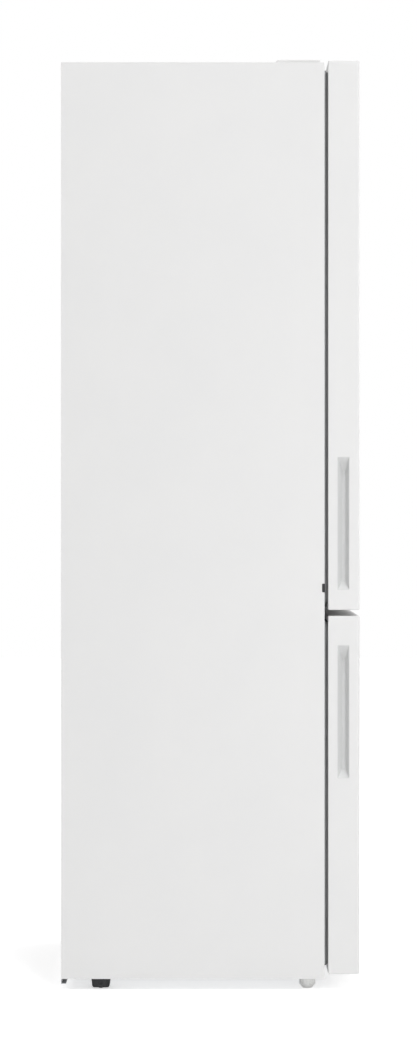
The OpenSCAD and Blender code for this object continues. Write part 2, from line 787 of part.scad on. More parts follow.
// Plastic back cover of the freezer, with the fan's mouth and the air slots
module evaporator_cover() color("white") difference() {
    x = freezer_x - run_gap;
    block([-x, cover_y0, step_z], [x, cover_y0 + cover_t, freezer_z1 - run_gap]);
    for (side = [-1, 1], z = [step_z, freezer_z1 - run_gap])
        translate([side * x, cover_y0, z]) rotate([0, 45, 0])
            cube([corner_r * sqrt(2), 4 * cover_t, corner_r * sqrt(2)], center = true);
    translate([0, cover_y0 - 1, fan_z]) rotate([-90, 0, 0])
        cylinder(h = cover_t + 2, r = fan_hole_r);
    both_sides() for (i = [-2.5 : 2.5])
        block([slot_x1 - slot_w, cover_y0 - 1, fan_z + i * slot_pitch - slot_h / 2],
            [slot_x1, cover_y0 + cover_t + 1, fan_z + i * slot_pitch + slot_h / 2]);
    for (i = [-4 : 4]) translate([i * intake_pitch, 0, 0])
        block([-intake_w / 2, cover_y0 - 1, step_z + 12],
            [intake_w / 2, cover_y0 + cover_t + 1, step_z + 24]);
}

// Fan motor held behind the cover by three struts and a ring
module fan_motor() color("dimgray") translate([0, 0, fan_z]) rotate([-90, 0, 0]) {
    ring_r = fan_hole_r + 7;
    ring_y0 = cover_y0 + cover_t;
    translate([0, 0, ring_y0]) difference() {
        cylinder(h = motor_y0 + 8 - ring_y0, r = ring_r);
        translate([0, 0, -1]) cylinder(h = motor_y0 + 10 - ring_y0, r = ring_r - 2.5);
    }
    translate([0, 0, motor_y0]) cylinder(h = 24, r = 19);
    translate([0, 0, fan_y0 + 6]) cylinder(h = motor_y0 - fan_y0, r = shaft_r);
    for (a = [30, 150, 270]) rotate([0, 0, a])
        block([15, -3, motor_y0 + 2], [ring_r - 1, 3, motor_y0 + 6]);
}

module fan_blade() color("whitesmoke") translate([0, fan_y0, fan_z]) rotate([-90, 0, 0])
    difference() {
        union() {
            cylinder(h = fan_w, r = fan_hub_r);
            for (a = [0 : 72 : 288]) rotate([0, 0, a])
                intersection() {
                    translate([fan_r / 2, 0, fan_w / 2]) rotate([38, 0, 0])
                        cube([fan_r, 34, 1.6], center = true);
                    cylinder(h = fan_w, r = fan_r);
                    block([5, -20, 0], [fan_r, 20, fan_w]);
                }
        }
        translate([0, 0, 5]) cylinder(h = fan_w, r = shaft_r + pin_clear);
    }

// Air column on the fridge's back wall
module air_duct() color("white") difference() {
    block([-duct_x, duct_y0, fridge_z0], [duct_x, cavity_y1, duct_z1]);
    block([-duct_x + duct_wall, duct_y0 + duct_wall, fridge_z0 - 1],
        [duct_x - duct_wall, cavity_y1 + 1, duct_z1 - duct_wall]);
    for (z = [for (i = [0 : shelf_count]) shelf_z[i] + shelf_pitch / 2], k = [-1 : 1])
        block([-50, duct_y0 - 1, z + k * 14 - 3], [50, duct_y0 + duct_wall + 1, z + k * 14 + 3]);
}

// Thermostat and lamp housing under the fridge's ceiling
module control_box() color("white") difference() {
    tall_block([-control_x, control_y0, control_z0],
        [control_x, control_y0 + control_d, fridge_z1], 10);
    tall_block([-control_x + control_wall, control_y0 + control_wall, control_z0 + control_wall],
        [control_x - control_wall, control_y0 + control_d - control_wall, fridge_z1 + 1], 8);
    block([-lens_x, lens_y0, control_z0 - 1], [lens_x, lens_y1, control_z0 + control_wall + 1]);
    translate([dial_x, control_y0 - 1, control_mid_z]) rotate([-90, 0, 0])
        cylinder(h = control_wall + 2, r = axle_r + pin_clear);
    translate([button_x, control_y0 - 1, control_mid_z]) rotate([-90, 0, 0])
        cylinder(h = control_wall + 2, r = button_r + 0.1);
}

module lamp_lens() color("ivory") {
    block([-lens_x, lens_y0, control_z0], [lens_x, lens_y1, control_z0 + control_wall]);
    block([-lens_x - 5, lens_y0 - 5, control_z0 + control_wall],
        [lens_x + 5, lens_y1 + 5, control_z0 + control_wall + 1.5]);
}

module thermostat_dial() color("white")
    translate([dial_x, control_y0, control_mid_z]) rotate([90, 0, 0]) difference() {
        union() {
            translate([0, 0, 0.3]) cylinder(h = 3, r = dial_r);
            translate([0, 0, 3]) intersection() {
                cylinder(h = 5, r = dial_r - 1);
                block([-4, -dial_r, 0], [4, dial_r, 5]);
            }
            translate([0, 0, -14]) cylinder(h = 15, r = axle_r);
        }
        block([-0.6, dial_r - 6, 7.4], [0.6, dial_r, 9]);
    }

module freeze_button() color("silver")
    translate([button_x, control_y0, control_mid_z]) rotate([90, 0, 0]) {
        translate([0, 0, -8]) cylinder(h = 8 + button_travel + 0.5, r = button_r);
        translate([0, 0, -9]) cylinder(h = 2, r = button_r + 2);
    }

// Electronics box in the machine compartment, with the mains inlet in its back
power_x0 = -side_x + 62.5;
power_y0 = comp_y0 + 30;
power_y1 = back_y - 30;
power_h = 72;
module power_box() color([0.2, 0.2, 0.21]) difference() {
    inlet_z = base_z1 + 40;
    inlet_x = power_x0 + 50;
    union() {
        tall_block([power_x0, power_y0, base_z1], [power_x0 + 100, power_y1, base_z1 + power_h],
            4);
        block([inlet_x - 20, power_y1 - 1, inlet_z - 14], [inlet_x + 20, power_y1 + 3,
            inlet_z + 14]);
    }
    difference() {
        block([inlet_x - 12, power_y1 - 15, inlet_z - 8], [inlet_x + 12, power_y1 + 5,
            inlet_z + 8]);
        for (p = [[-7, -2], [0, 3], [7, -2]])
            block([inlet_x + p.x - 1, power_y1 - 16, inlet_z + p.y - 2.5],
                [inlet_x + p.x + 1, power_y1 - 2, inlet_z + p.y + 2.5]);
    }
}

glass_x = fridge_x - 3.5;
freezer_glass_x = freezer_x - 3.5;
// Toughened glass panes of both compartments
module glass_shelves() color([0.75, 0.9, 0.88, 0.5]) {
    for (z = shelf_z)
        block([-glass_x, shelf_y0 + 2, z], [glass_x, shelf_y1 - 2, z + glass_t]);
    block([-freezer_glass_x, freezer_shelf_y0, freezer_shelf_z[0]],
        [freezer_glass_x, step_y - run_gap, freezer_shelf_z[0] + glass_t]);
    block([-freezer_glass_x, freezer_shelf_y0, freezer_shelf_z[1]],
        [freezer_glass_x, freezer_shelf_y1, freezer_shelf_z[1] + glass_t]);
}

// Plastic edge strips on the front and back of the fridge's panes
module shelf_trims() color("white") for (z = shelf_z) difference() {
    union() for (y = [shelf_y0, shelf_y1 - shelf_edge])
        block([-glass_x, y, z - shelf_trim_drop],
            [glass_x, y + shelf_edge, z + glass_t + shelf_trim_rise]);
    block([-side_x, shelf_y0 + 2, z], [side_x, shelf_y1 - 2, z + glass_t]);
    for (y = [shelf_y0 + 3, shelf_y1 - shelf_edge + 3])
        block([-glass_x + 3, y, z - shelf_trim_drop - 1],
            [glass_x - 3, y + shelf_edge - 6, z - 2]);
}

// Plan of a door with round front edges, drawn in by a wall
module door_plan(inset = 0) {
    x = side_x - inset;
    y0 = face_y + inset;
    y1 = door_back_y - inset;
    r = door_r - inset;
    translate([-x, y0 + r]) square([2 * x, y1 - y0 - r]);
    translate([-x + r, y0]) square([2 * x - 2 * r, y1 - y0]);
    for (side = [-1, 1]) translate([side * (x - r), y0 + r]) circle(r);
}

// Outer edge of a finger recess: the pocket that its insert fills
module grip_pocket(z0) block([-side_x - 1, face_y + grip_set, z0],
    [-side_x + grip_depth + grip_wall, face_y + grip_set + grip_w, z0 + grip_len]);

// Moulded insert with a tapered trough: narrow floor, sloping sides and longer sloping ends
module door_grip(z0) color("gainsboro") difference() {
    edge = 1;
    floor_w = 7;
    front_slope = 7;
    top_slope = 30;
    foot_slope = 18;
    y0 = face_y + grip_set;
    z1 = z0 + grip_len;
    block([-side_x, y0, z0], [-side_x + grip_depth + grip_wall, y0 + grip_w, z1]);
    intersection() {
        translate([0, 0, z0]) linear_extrude(grip_len) polygon([
            [-side_x - 1, y0 + edge], [-side_x, y0 + edge],
            [-side_x + grip_depth, y0 + front_slope],
            [-side_x + grip_depth, y0 + front_slope + floor_w],
            [-side_x, y0 + grip_w - edge], [-side_x - 1, y0 + grip_w - edge]]);
        translate([0, y0 + grip_w, 0]) rotate([90, 0, 0]) linear_extrude(grip_w) polygon([
            [-side_x - 1, z0 + edge], [-side_x, z0 + edge],
            [-side_x + grip_depth, z0 + foot_slope], [-side_x + grip_depth, z1 - top_slope],
            [-side_x, z1 - edge], [-side_x - 1, z1 - edge]]);
    }
}

// Painted steel skin: front, both sides and a folded edge around the back
module door_panel(z0, z1, grip_z0) color("white") difference() {
    translate([0, 0, z0 + cap_t]) linear_extrude(z1 - z0 - 2 * cap_t) difference() {
        door_plan();
        door_plan(sheet_t);
        translate([-side_x + return_w, door_back_y - 5])
            square([2 * (side_x - return_w), 10]);
    }
    grip_pocket(grip_z0);
}

// Bosses inside both ends of a door, under a notch of this depth at the top
module bosses(z0, z1, notch) for (z = [z0 + 1, z1 - notch - boss_end])
    translate([hinge_x, hinge_y, z]) cylinder(h = boss_end - 1, r = boss_r);

// End caps with the bores for the hinge pins
module door_caps(z0, z1, notch = 0) color("white") difference() {
    union() {
        for (z = [z0, z1 - cap_t]) translate([0, 0, z]) linear_extrude(cap_t) door_plan();
        bosses(z0, z1, notch);
    }
    translate([hinge_x, hinge_y, z0 - 1]) cylinder(h = bore_depth + 1, r = bore_r);
    translate([hinge_x, hinge_y, z1 - bore_depth - notch])
        cylinder(h = bore_depth + notch + 1, r = bore_r);
    if (notch > 0)
        block([hinge_x - nose_r - 2, notch_front, z1 - notch],
            [side_x + 1, door_back_y + 1, z1 + 1]);
}

// Foam block of a door without the space of its liner's plate
module door_core(z0, z1, notch = 0) difference() {
    translate([0, 0, z0 + cap_t]) linear_extrude(z1 - z0 - 2 * cap_t) door_plan(sheet_t);
    block([-side_x + return_w, door_back_y - liner_t, z0], [side_x - return_w, door_back_y, z1]);
    bosses(z0, z1, notch);
}

module door_liner_plate(z0, z1) block(
    [-side_x + return_w, door_back_y - liner_t, z0 + cap_t],
    [side_x - return_w, door_back_y, z1 - cap_t]);

// Ridge around the fridge door's shelves; shrink gives the foam inside it
module ridge(shrink = 0) difference() {
    block([-ridge_x1 + shrink, door_back_y - liner_t, ridge_z0 + shrink],
        [ridge_x1 - shrink, door_back_y + ridge_d - shrink, ridge_z1 - shrink]);
    block([-ridge_x0 - shrink, door_back_y - liner_t - 1, ridge_z0 + ridge_w - shrink],
        [ridge_x0 + shrink, door_back_y + ridge_d + 1, ridge_z1 - ridge_w + shrink]);
}

bin_floor_z = [bin_top_z, bin_top_z - bin_pitch, bin_top_z - 2 * bin_pitch, bin_z0];

module bin_lugs() for (z = bin_floor_z, side = [-1, 1])
    block([side * ridge_x0 - 6, door_back_y - 0.5, z - 8],
        [side * ridge_x0 + 6, door_back_y + 34, z]);

module upper_door_liner() color("white") difference() {
    union() {
        door_liner_plate(upper_z0, upper_z1);
        ridge();
        difference() {
            bin_lugs();
            block([-side_x, door_back_y - 2, bin_z0 - 20], [-ridge_x0 - 3, back_y, cab_z1]);
            block([ridge_x0 + 3, door_back_y - 2, bin_z0 - 20], [side_x, back_y, cab_z1]);
        }
    }
    ridge(liner_t);
}

module upper_door_foam() color("khaki") difference() {
    union() {
        door_core(upper_z0, upper_z1, top_notch);
        ridge(liner_t);
    }
    grip_pocket(upper_grip_z0);
}

pillow_x = freezer_x - 30;
pillow_margin = 20;
module pillow(shrink = 0) tall_block(
    [-pillow_x + shrink, door_back_y - liner_t, freezer_z0 + pillow_margin + shrink],
    [pillow_x - shrink, door_back_y + pillow_d - shrink, freezer_z1 - pillow_margin - shrink],
    4);

module lower_door_liner() color("white") difference() {
    union() {
        door_liner_plate(lower_z0, lower_z1);
        pillow();
    }
    pillow(liner_t);
}

module lower_door_foam() color("khaki") difference() {
    union() {
        door_core(lower_z0, lower_z1);
        pillow(liner_t);
    }
    grip_pocket(lower_grip_z0);
}

// Magnetic seal around the back of a door
module door_gasket(z0, z1) color("lightgray") {
    x = hinge_x - 2;
    y1 = front_y - seal_clear;
    difference() {
        block([-x, door_back_y, z0], [x, y1, z1]);
        block([-x + seal_w, door_back_y - 1, z0 + seal_w], [x - seal_w, y1 + 1, z1 - seal_w]);
    }
}

module door_bin(z0, h) color([0.9, 0.93, 0.95, 0.6])
    tub([-bin_x, bin_back_y, z0], [bin_x, bin_front_y, z0 + h], 9);

lid_y = bin_back_y + 8;
lid_z = bin_top_z + bin_h + 7;
lid_x = bin_x - 5;
// Upper bin with the two ears that hold the dairy lid
module dairy_bin() color([0.9, 0.93, 0.95, 0.6]) difference() {
    union() {
        door_bin(bin_top_z, bin_h);
        both_sides() {
            block([lid_x + 0.4, bin_back_y + 2, bin_top_z + 20], [bin_x, lid_y + 6, lid_z]);
            translate([lid_x + 0.4, lid_y, lid_z]) rotate([0, 90, 0])
                cylinder(h = bin_x - lid_x - 0.4, r = 6);
        }
    }
    translate([-bin_x - 1, lid_y, lid_z]) rotate([0, 90, 0])
        cylinder(h = 2 * bin_x + 2, r = axle_r + pin_clear);
}

module dairy_lid() color([0.85, 0.9, 0.93, 0.6]) {
    translate([-bin_x, lid_y, lid_z]) rotate([0, 90, 0]) cylinder(h = 2 * bin_x, r = axle_r);
    translate([-lid_x, lid_y, lid_z]) rotate([0, 90, 0]) cylinder(h = 2 * lid_x, r = 5);
    block([-lid_x, lid_y, lid_z - 5], [lid_x, bin_front_y + 1, lid_z - 2.5]);
    block([-lid_x, bin_front_y - 1, lid_z - 6], [lid_x, bin_front_y + 1, lid_z - 2.5]);
}

// Divider that hooks over the bottle bin's front wall and slides along it
module bottle_holder() color("silver") {
    gap = 0.3;
    z1 = bin_z0 + bottle_bin_h;
    wall = bin_front_y - tub_wall;
    x = 13;
    block([-x, wall - gap - tub_wall, z1 - 45], [x, wall - gap, z1 + gap + tub_wall]);
    block([-x, bin_front_y + gap, z1 - 20], [x, bin_front_y + gap + tub_wall,
        z1 + gap + tub_wall]);
    block([-x, wall - gap - tub_wall, z1 + gap], [x, bin_front_y + gap + tub_wall,
        z1 + gap + tub_wall]);
    block([-1.25, wall - 75, z1 - 45], [1.25, wall - gap - 1, z1 - 8]);
}

// Drawer with a set-back front and a pull lip along its top
module pull_drawer(front_x, tub_x, y0, y1, z0, h) {
    lip = 14;
    panel = 4;
    block([-front_x, y0 + lip, z0], [front_x, y0 + lip + panel, z0 + h]);
    block([-front_x, y0, z0 + h - 3], [front_x, y0 + lip + 1, z0 + h]);
    block([-front_x, y0, z0 + h - 12], [front_x, y0 + 3, z0 + h]);
    tub([-tub_x, y0 + lip + 1, z0], [tub_x, y1, z0 + h - 10], 9);
}

crisper_front_x = fridge_x - 11.5;
slider_z = crisper_z1 - 34;
slider_x = 12;
slider_travel = 20;
module crisper_drawer() color([0.9, 0.95, 0.96, 0.6]) difference() {
    pull_drawer(crisper_front_x, crisper_front_x - 6, shelf_y0 + 1, shelf_y1 - 8, crisper_z0,
        crisper_h);
    block([-slider_x - slider_travel - 1, shelf_y0 + 14, slider_z - 0.3],
        [slider_x + slider_travel + 1, shelf_y0 + 17, slider_z + 10.3]);
}

// Vent slider in the crisper's front
module humidity_slider() color("steelblue") {
    block([-slider_x, shelf_y0 + 14.7, slider_z], [slider_x, shelf_y0 + 16.7, slider_z + 10]);
    block([-3, shelf_y0 + 11, slider_z + 1], [3, shelf_y0 + 15, slider_z + 9]);
}

module freezer_drawer(z0, h, y1) color([0.88, 0.94, 0.97, 0.6])
    pull_drawer(drawer_front_x, drawer_tub_x, drawer_y0, y1, z0, h);

// Levelling foot: fluted pad with a chamfered sole, on a threaded stud
module front_foot() color("gainsboro") {
    sole = 9;
    flutes = 12;
    difference() {
        union() {
            cylinder(h = sole, r1 = foot_r - 8, r2 = foot_r);
            translate([0, 0, sole]) cylinder(h = foot_top_z - sole, r = foot_r);
        }
        for (i = [0 : flutes - 1]) rotate([0, 0, (i + 0.5) * 360 / flutes])
            translate([foot_r + 1, 0, sole + 1]) cylinder(h = foot_top_z, r = 2.2);
    }
    translate([0, 0, 1]) cylinder(h = stud_z1 - 1, r = stud_r);
}

// Rear transport roller with its axle ends
module rear_roller() color([0.15, 0.15, 0.16]) translate([0, roller_y, roller_r])
    rotate([0, 90, 0]) difference() {
        union() {
            cylinder(h = roller_w, r = roller_r, center = true);
            cylinder(h = 2 * housing_x, r = axle_r, center = true);
            cylinder(h = 2 * well_x - 1, r = axle_r + 3, center = true);
        }
        for (side = [-1, 1]) translate([0, 0, side * roller_w / 2]) difference() {
            cylinder(h = 6, r = roller_r - 4, center = true);
            cylinder(h = 7, r = axle_r + 3, center = true);
        }
    }

side_panel_left();
side_panel_right();
top_panel();
back_panel();
foam_body();
fridge_liner();
freezer_liner();
base_plate();
center_rail();
top_trim();
top_hinge();
middle_hinge();
bottom_hinge();
hinge_screws();
hinge_plugs();
compressor();
compressor_mounts();
drip_tray();
condenser_coils();
refrigerant_lines();
evaporator();
evaporator_cover();
fan_motor();
air_duct();
control_box();
lamp_lens();
power_box();
glass_shelves();
shelf_trims();
door_panel(upper_z0, upper_z1, upper_grip_z0);  // upper_door_panel
door_caps(upper_z0, upper_z1, top_notch);  // upper_door_caps
upper_door_foam();
upper_door_liner();
door_grip(upper_grip_z0);  // upper_door_grip
door_gasket(upper_z0 + cap_t, upper_z1 - cap_t - 3);  // upper_door_gasket
dairy_bin();  // door_bin_1
door_bin(bin_floor_z[1], bin_h);  // door_bin_2
door_bin(bin_floor_z[2], bin_h);  // door_bin_3
door_bin(bin_floor_z[3], bottle_bin_h);  // bottle_bin
dairy_lid();
bottle_holder();
door_panel(lower_z0, lower_z1, lower_grip_z0);  // lower_door_panel
door_caps(lower_z0, lower_z1);  // lower_door_caps
lower_door_foam();
lower_door_liner();
door_grip(lower_grip_z0);  // lower_door_grip
door_gasket(lower_z0 + cap_t + 1, lower_z1 - cap_t);  // lower_door_gasket
crisper_drawer();
humidity_slider();
freezer_drawer(top_z0, drawer_h, cover_y0 - 8);  // freezer_drawer_top
freezer_drawer(middle_z0, drawer_h, cover_y0 - 8);  // freezer_drawer_middle
freezer_drawer(bottom_z0, bottom_z1 - bottom_z0, step_y - 8);  // freezer_drawer_bottom
translate([-foot_x, foot_y, 0]) front_foot();  // front_foot_left
translate([foot_x, foot_y, 0]) front_foot();  // front_foot_right
roller_housings();
translate([-foot_x, 0, 0]) rear_roller();  // rear_roller_left
translate([foot_x, 0, 0]) rear_roller();  // rear_roller_right
fan_blade();
thermostat_dial();
freeze_button();
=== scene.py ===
"""Looks of a tall white fridge freezer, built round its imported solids.

Most pieces are the solids with rolled or moulded edges and a finish. What repeats or follows a
path is made by a rule: seals, tubes, fins, screws, beads, ribs, slats and threads.
"""
import json
import math

import bmesh
import bpy
from mathutils import Matrix, Vector


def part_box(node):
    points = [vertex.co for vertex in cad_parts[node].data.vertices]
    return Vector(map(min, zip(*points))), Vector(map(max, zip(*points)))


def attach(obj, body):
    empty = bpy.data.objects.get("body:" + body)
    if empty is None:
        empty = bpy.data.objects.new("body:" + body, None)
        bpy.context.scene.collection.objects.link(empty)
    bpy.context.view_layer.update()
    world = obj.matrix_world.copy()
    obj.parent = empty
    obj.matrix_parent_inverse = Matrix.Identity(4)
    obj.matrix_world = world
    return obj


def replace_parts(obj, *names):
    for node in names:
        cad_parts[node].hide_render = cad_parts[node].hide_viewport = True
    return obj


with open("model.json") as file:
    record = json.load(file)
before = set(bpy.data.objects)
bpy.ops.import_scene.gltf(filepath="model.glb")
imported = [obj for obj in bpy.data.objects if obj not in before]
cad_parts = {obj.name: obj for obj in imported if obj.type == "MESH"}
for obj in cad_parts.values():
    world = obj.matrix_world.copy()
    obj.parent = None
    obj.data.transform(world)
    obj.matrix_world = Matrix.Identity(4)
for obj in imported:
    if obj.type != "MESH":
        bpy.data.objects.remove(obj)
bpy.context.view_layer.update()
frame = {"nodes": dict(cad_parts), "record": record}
SOLIDS = frame["nodes"]
BODY_OF = {node: body for body, nodes in frame["record"]["behaviour"]["bodies"].items()
    for node in nodes}
SLOT_OF = {part["node"]: part["material_slot"] for part in frame["record"]["subparts"]}


def mm(*values):
    """Millimetres as a vector in metres"""
    return Vector(value / 1000 for value in values)


def box_mm(node):
    """Lowest and highest corner of the node's solid in millimetres"""
    return [corner * 1000 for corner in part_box(node)]


def in_scene(name, data):
    """A new object at the origin"""
    made = bpy.data.objects.new(name, data)
    bpy.context.scene.collection.objects.link(made)
    return made


def mesh_made(thing):
    """A plain mesh of what the object's modifiers or its curve give"""
    made = thing.evaluated_get(bpy.context.evaluated_depsgraph_get())
    return bpy.data.meshes.new_from_object(made)


# Finishes

MIX_FIRST, MIX_SECOND, MIX_RESULT = 6, 7, 2  # the colour sockets of a Mix node


class Finish:
    """A procedural finish on one shader, built up from patterns in the piece's own space"""

    def __init__(self, name, colour, roughness, **sockets):
        self.material = bpy.data.materials.new(name)
        self.material.use_nodes = True
        self.nodes = self.material.node_tree.nodes
        self.links = self.material.node_tree.links
        self.shader = self.nodes["Principled BSDF"]
        self.shader.inputs["Base Color"].default_value = (*colour, 1)
        self.shader.inputs["Roughness"].default_value = roughness
        for socket, value in sockets.items():
            self.shader.inputs[socket.replace("_", " ")].default_value = value
        self.colour = colour
        self.relief_before = None

    def add(self, kind, **settings):
        node = self.nodes.new("ShaderNode" + kind)
        for name, value in settings.items():
            setattr(node, name, value)
        return node

    def spaced(self, size_mm, stretch=(1, 1, 1)):
        """Object coordinates scaled so that one unit is size_mm"""
        scale = self.add("Mapping")
        scale.inputs["Scale"].default_value = [1000 / size_mm * s for s in stretch]
        self.links.new(self.add("TexCoord").outputs["Object"], scale.inputs["Vector"])
        return scale.outputs["Vector"]

    def grain(self, size_mm, detail, stretch=(1, 1, 1)):
        noise = self.add("TexNoise")
        noise.inputs["Scale"].default_value = 1
        noise.inputs["Detail"].default_value = detail
        self.links.new(self.spaced(size_mm, stretch), noise.inputs["Vector"])
        return noise.outputs["Fac"]

    def cells(self, size_mm, output="Distance"):
        voronoi = self.add("TexVoronoi")
        voronoi.inputs["Scale"].default_value = 1
        self.links.new(self.spaced(size_mm), voronoi.inputs["Vector"])
        return voronoi.outputs[output]

    def tinted(self, pattern, change, low=0.3, high=0.7):
        """Colour that runs from the plain one to one times change along a pattern"""
        spread = self.add("MapRange")
        spread.inputs["From Min"].default_value = low
        spread.inputs["From Max"].default_value = high
        mix = self.add("Mix", data_type="RGBA")
        mix.inputs[MIX_FIRST].default_value = (*self.colour, 1)
        changed = [min(1, c * k) for c, k in zip(self.colour, change)]
        mix.inputs[MIX_SECOND].default_value = (*changed, 1)
        self.links.new(pattern, spread.inputs["Value"])
        self.links.new(spread.outputs["Result"], mix.inputs["Factor"])
        self.links.new(mix.outputs[MIX_RESULT], self.shader.inputs["Base Color"])
        return self

    def sheen_from(self, pattern, low, high):
        spread = self.add("MapRange")
        spread.inputs["To Min"].default_value = low
        spread.inputs["To Max"].default_value = high
        self.links.new(pattern, spread.inputs["Value"])
        self.links.new(spread.outputs["Result"], self.shader.inputs["Roughness"])
        return self

    def relief(self, pattern, depth_mm, strength):
        bump = self.add("Bump")
        bump.inputs["Distance"].default_value = depth_mm / 1000
        bump.inputs["Strength"].default_value = strength
        self.links.new(pattern, bump.inputs["Height"])
        if self.relief_before:
            self.links.new(self.relief_before, bump.inputs["Normal"])
        self.relief_before = bump.outputs["Normal"]
        self.links.new(self.relief_before, self.shader.inputs["Normal"])
        return self


def coated_steel():
    """Baked white enamel: faint orange peel, an even satin gloss and a trace of unevenness"""
    f = Finish("coated_steel", (0.79, 0.788, 0.784), 0.38, Coat_Weight=0.12, Coat_Roughness=0.25)
    f.tinted(f.grain(140, 3), (0.985, 0.987, 0.99))
    f.sheen_from(f.grain(60, 2), 0.34, 0.44)
    return f.relief(f.grain(3.2, 1), 0.02, 0.25).relief(f.grain(220, 1), 0.3, 0.05)


def white_moulding():
    """Satin white injection moulding with a fine spark texture"""
    f = Finish("white_moulding", (0.74, 0.738, 0.732), 0.42)
    f.tinted(f.grain(45, 3), (0.98, 0.98, 0.975))
    f.sheen_from(f.grain(12, 2), 0.38, 0.5)
    return f.relief(f.grain(0.7, 1), 0.015, 0.3)


def recess_moulding_painted_shade():
    """The same white moulding, darkened to paint the shade that falls in the finger recesses, with
    their coarser texture
    """
    f = Finish("recess_moulding_painted_shade", (0.7, 0.705, 0.705), 0.5)
    f.tinted(f.grain(30, 3), (0.98, 0.98, 0.975))
    return f.relief(f.cells(1.1), 0.03, 0.3)


def formed_liner():
    """Glossy sheet drawn over a mould, with long soft waves"""
    f = Finish("formed_liner", (0.8, 0.81, 0.815), 0.22, Coat_Weight=0.3, Coat_Roughness=0.1)
    f.tinted(f.grain(90, 2), (0.98, 0.985, 0.99))
    f.sheen_from(f.grain(35, 2), 0.18, 0.3)
    return f.relief(f.grain(65, 1), 0.25, 0.12).relief(f.grain(1.4, 1), 0.01, 0.2)


def zinc_sheet():
    """Hot-dip zinc with its spangle"""
    f = Finish("zinc_sheet", (0.42, 0.43, 0.44), 0.5, Metallic=0.7)
    f.tinted(f.cells(9, "Color"), (1.25, 1.25, 1.25), 0, 1)
    f.sheen_from(f.cells(9, "Color"), 0.42, 0.6)
    return f.relief(f.grain(1.8, 2), 0.02, 0.3)


def hinge_plating():
    """Rolled steel with bright plating and drawn lines along its length"""
    f = Finish("hinge_plating", (0.62, 0.62, 0.61), 0.34, Metallic=1.0)
    f.tinted(f.grain(7, 3), (0.86, 0.86, 0.84))
    f.sheen_from(f.grain(2.5, 3, (1, 0.08, 1)), 0.24, 0.46)
    return f.relief(f.grain(1.2, 2, (1, 0.06, 1)), 0.01, 0.4)


def bright_screw():
    f = Finish("bright_screw", (0.72, 0.72, 0.7), 0.24, Metallic=1.0)
    f.tinted(f.grain(1.5, 2), (0.85, 0.85, 0.82))
    return f.sheen_from(f.grain(0.8, 2), 0.18, 0.36)


def black_moulding():
    f = Finish("black_moulding", (0.022, 0.022, 0.024), 0.5, Specular_IOR_Level=0.3)
    f.tinted(f.grain(20, 3), (1.5, 1.5, 1.5))
    f.sheen_from(f.grain(6, 2), 0.44, 0.6)
    return f.relief(f.cells(0.9), 0.02, 0.35)


def black_enamel():
    """Thick dipped enamel over a pressed shell"""
    f = Finish("black_enamel", (0.012, 0.012, 0.013), 0.3, Coat_Weight=0.5, Coat_Roughness=0.15)
    f.tinted(f.grain(30, 4), (1.8, 1.7, 1.7))
    f.sheen_from(f.grain(14, 3), 0.24, 0.42)
    return f.relief(f.grain(5, 2), 0.08, 0.25)


def dark_rubber():
    f = Finish("dark_rubber", (0.03, 0.03, 0.03), 0.78)
    f.tinted(f.grain(6, 3), (1.7, 1.7, 1.65))
    return f.relief(f.grain(0.8, 2), 0.04, 0.5)


def dark_nylon():
    """Charcoal moulding of the roller housings, with flow marks and a matt skin"""
    f = Finish("dark_nylon", (0.02, 0.02, 0.022), 0.56, Specular_IOR_Level=0.38)
    f.tinted(f.grain(14, 4), (1.6, 1.6, 1.6))
    f.sheen_from(f.grain(4, 2), 0.48, 0.66)
    return f.relief(f.cells(0.8), 0.025, 0.4)


def grey_moulding():
    f = Finish("grey_moulding", (0.22, 0.225, 0.235), 0.48)
    f.tinted(f.grain(18, 3), (0.85, 0.85, 0.87))
    return f.relief(f.cells(0.9), 0.02, 0.3)


def tube_copper():
    """Drawn copper with brown stains where it was heated"""
    f = Finish("tube_copper", (0.78, 0.36, 0.2), 0.3, Metallic=1.0)
    f.tinted(f.grain(38, 4), (0.5, 0.42, 0.36), 0.42, 0.75)
    f.sheen_from(f.grain(5, 3), 0.24, 0.5)
    return f.relief(f.grain(1.5, 2), 0.01, 0.3)


def bare_aluminium():
    f = Finish("bare_aluminium", (0.72, 0.73, 0.74), 0.36, Metallic=1.0)
    f.tinted(f.grain(12, 3), (0.85, 0.85, 0.86))
    return f.sheen_from(f.grain(3, 3, (0.1, 1, 1)), 0.28, 0.5)


def seal_vinyl():
    """Soft grey seal with a powdery skin"""
    f = Finish("seal_vinyl", (0.42, 0.425, 0.43), 0.62)
    f.tinted(f.grain(25, 3), (0.9, 0.9, 0.9))
    f.sheen_from(f.grain(6, 2), 0.55, 0.7)
    return f.relief(f.grain(1.2, 2), 0.03, 0.3)


def shelf_glass():
    """Toughened float glass with its green cast and a little haze"""
    f = Finish("shelf_glass", (0.86, 0.95, 0.92), 0.03, Transmission_Weight=0.95, IOR=1.5)
    f.tinted(f.grain(120, 2), (0.97, 1.0, 0.985))
    return f.sheen_from(f.grain(50, 3), 0.01, 0.08)


def clear_moulding(name, colour, roughness, weight):
    """Clear crystal moulding with faint flow waves"""
    f = Finish(name, colour, roughness, Transmission_Weight=weight, IOR=1.49)
    f.tinted(f.grain(50, 2), (0.97, 0.985, 0.99))
    f.sheen_from(f.grain(20, 3), roughness * 0.7, roughness * 1.6)
    return f.relief(f.grain(28, 1), 0.1, 0.06)


def frosted_lens():
    f = Finish("frosted_lens", (0.93, 0.92, 0.88), 0.35, Transmission_Weight=0.35, IOR=1.49)
    f.tinted(f.grain(15, 2), (0.97, 0.97, 0.95))
    return f.relief(f.cells(0.9), 0.05, 0.4)


def foot_nylon():
    f = Finish("foot_nylon", (0.86, 0.86, 0.85), 0.5)
    f.tinted(f.grain(12, 3), (0.93, 0.93, 0.92))
    return f.relief(f.cells(0.8), 0.025, 0.35)


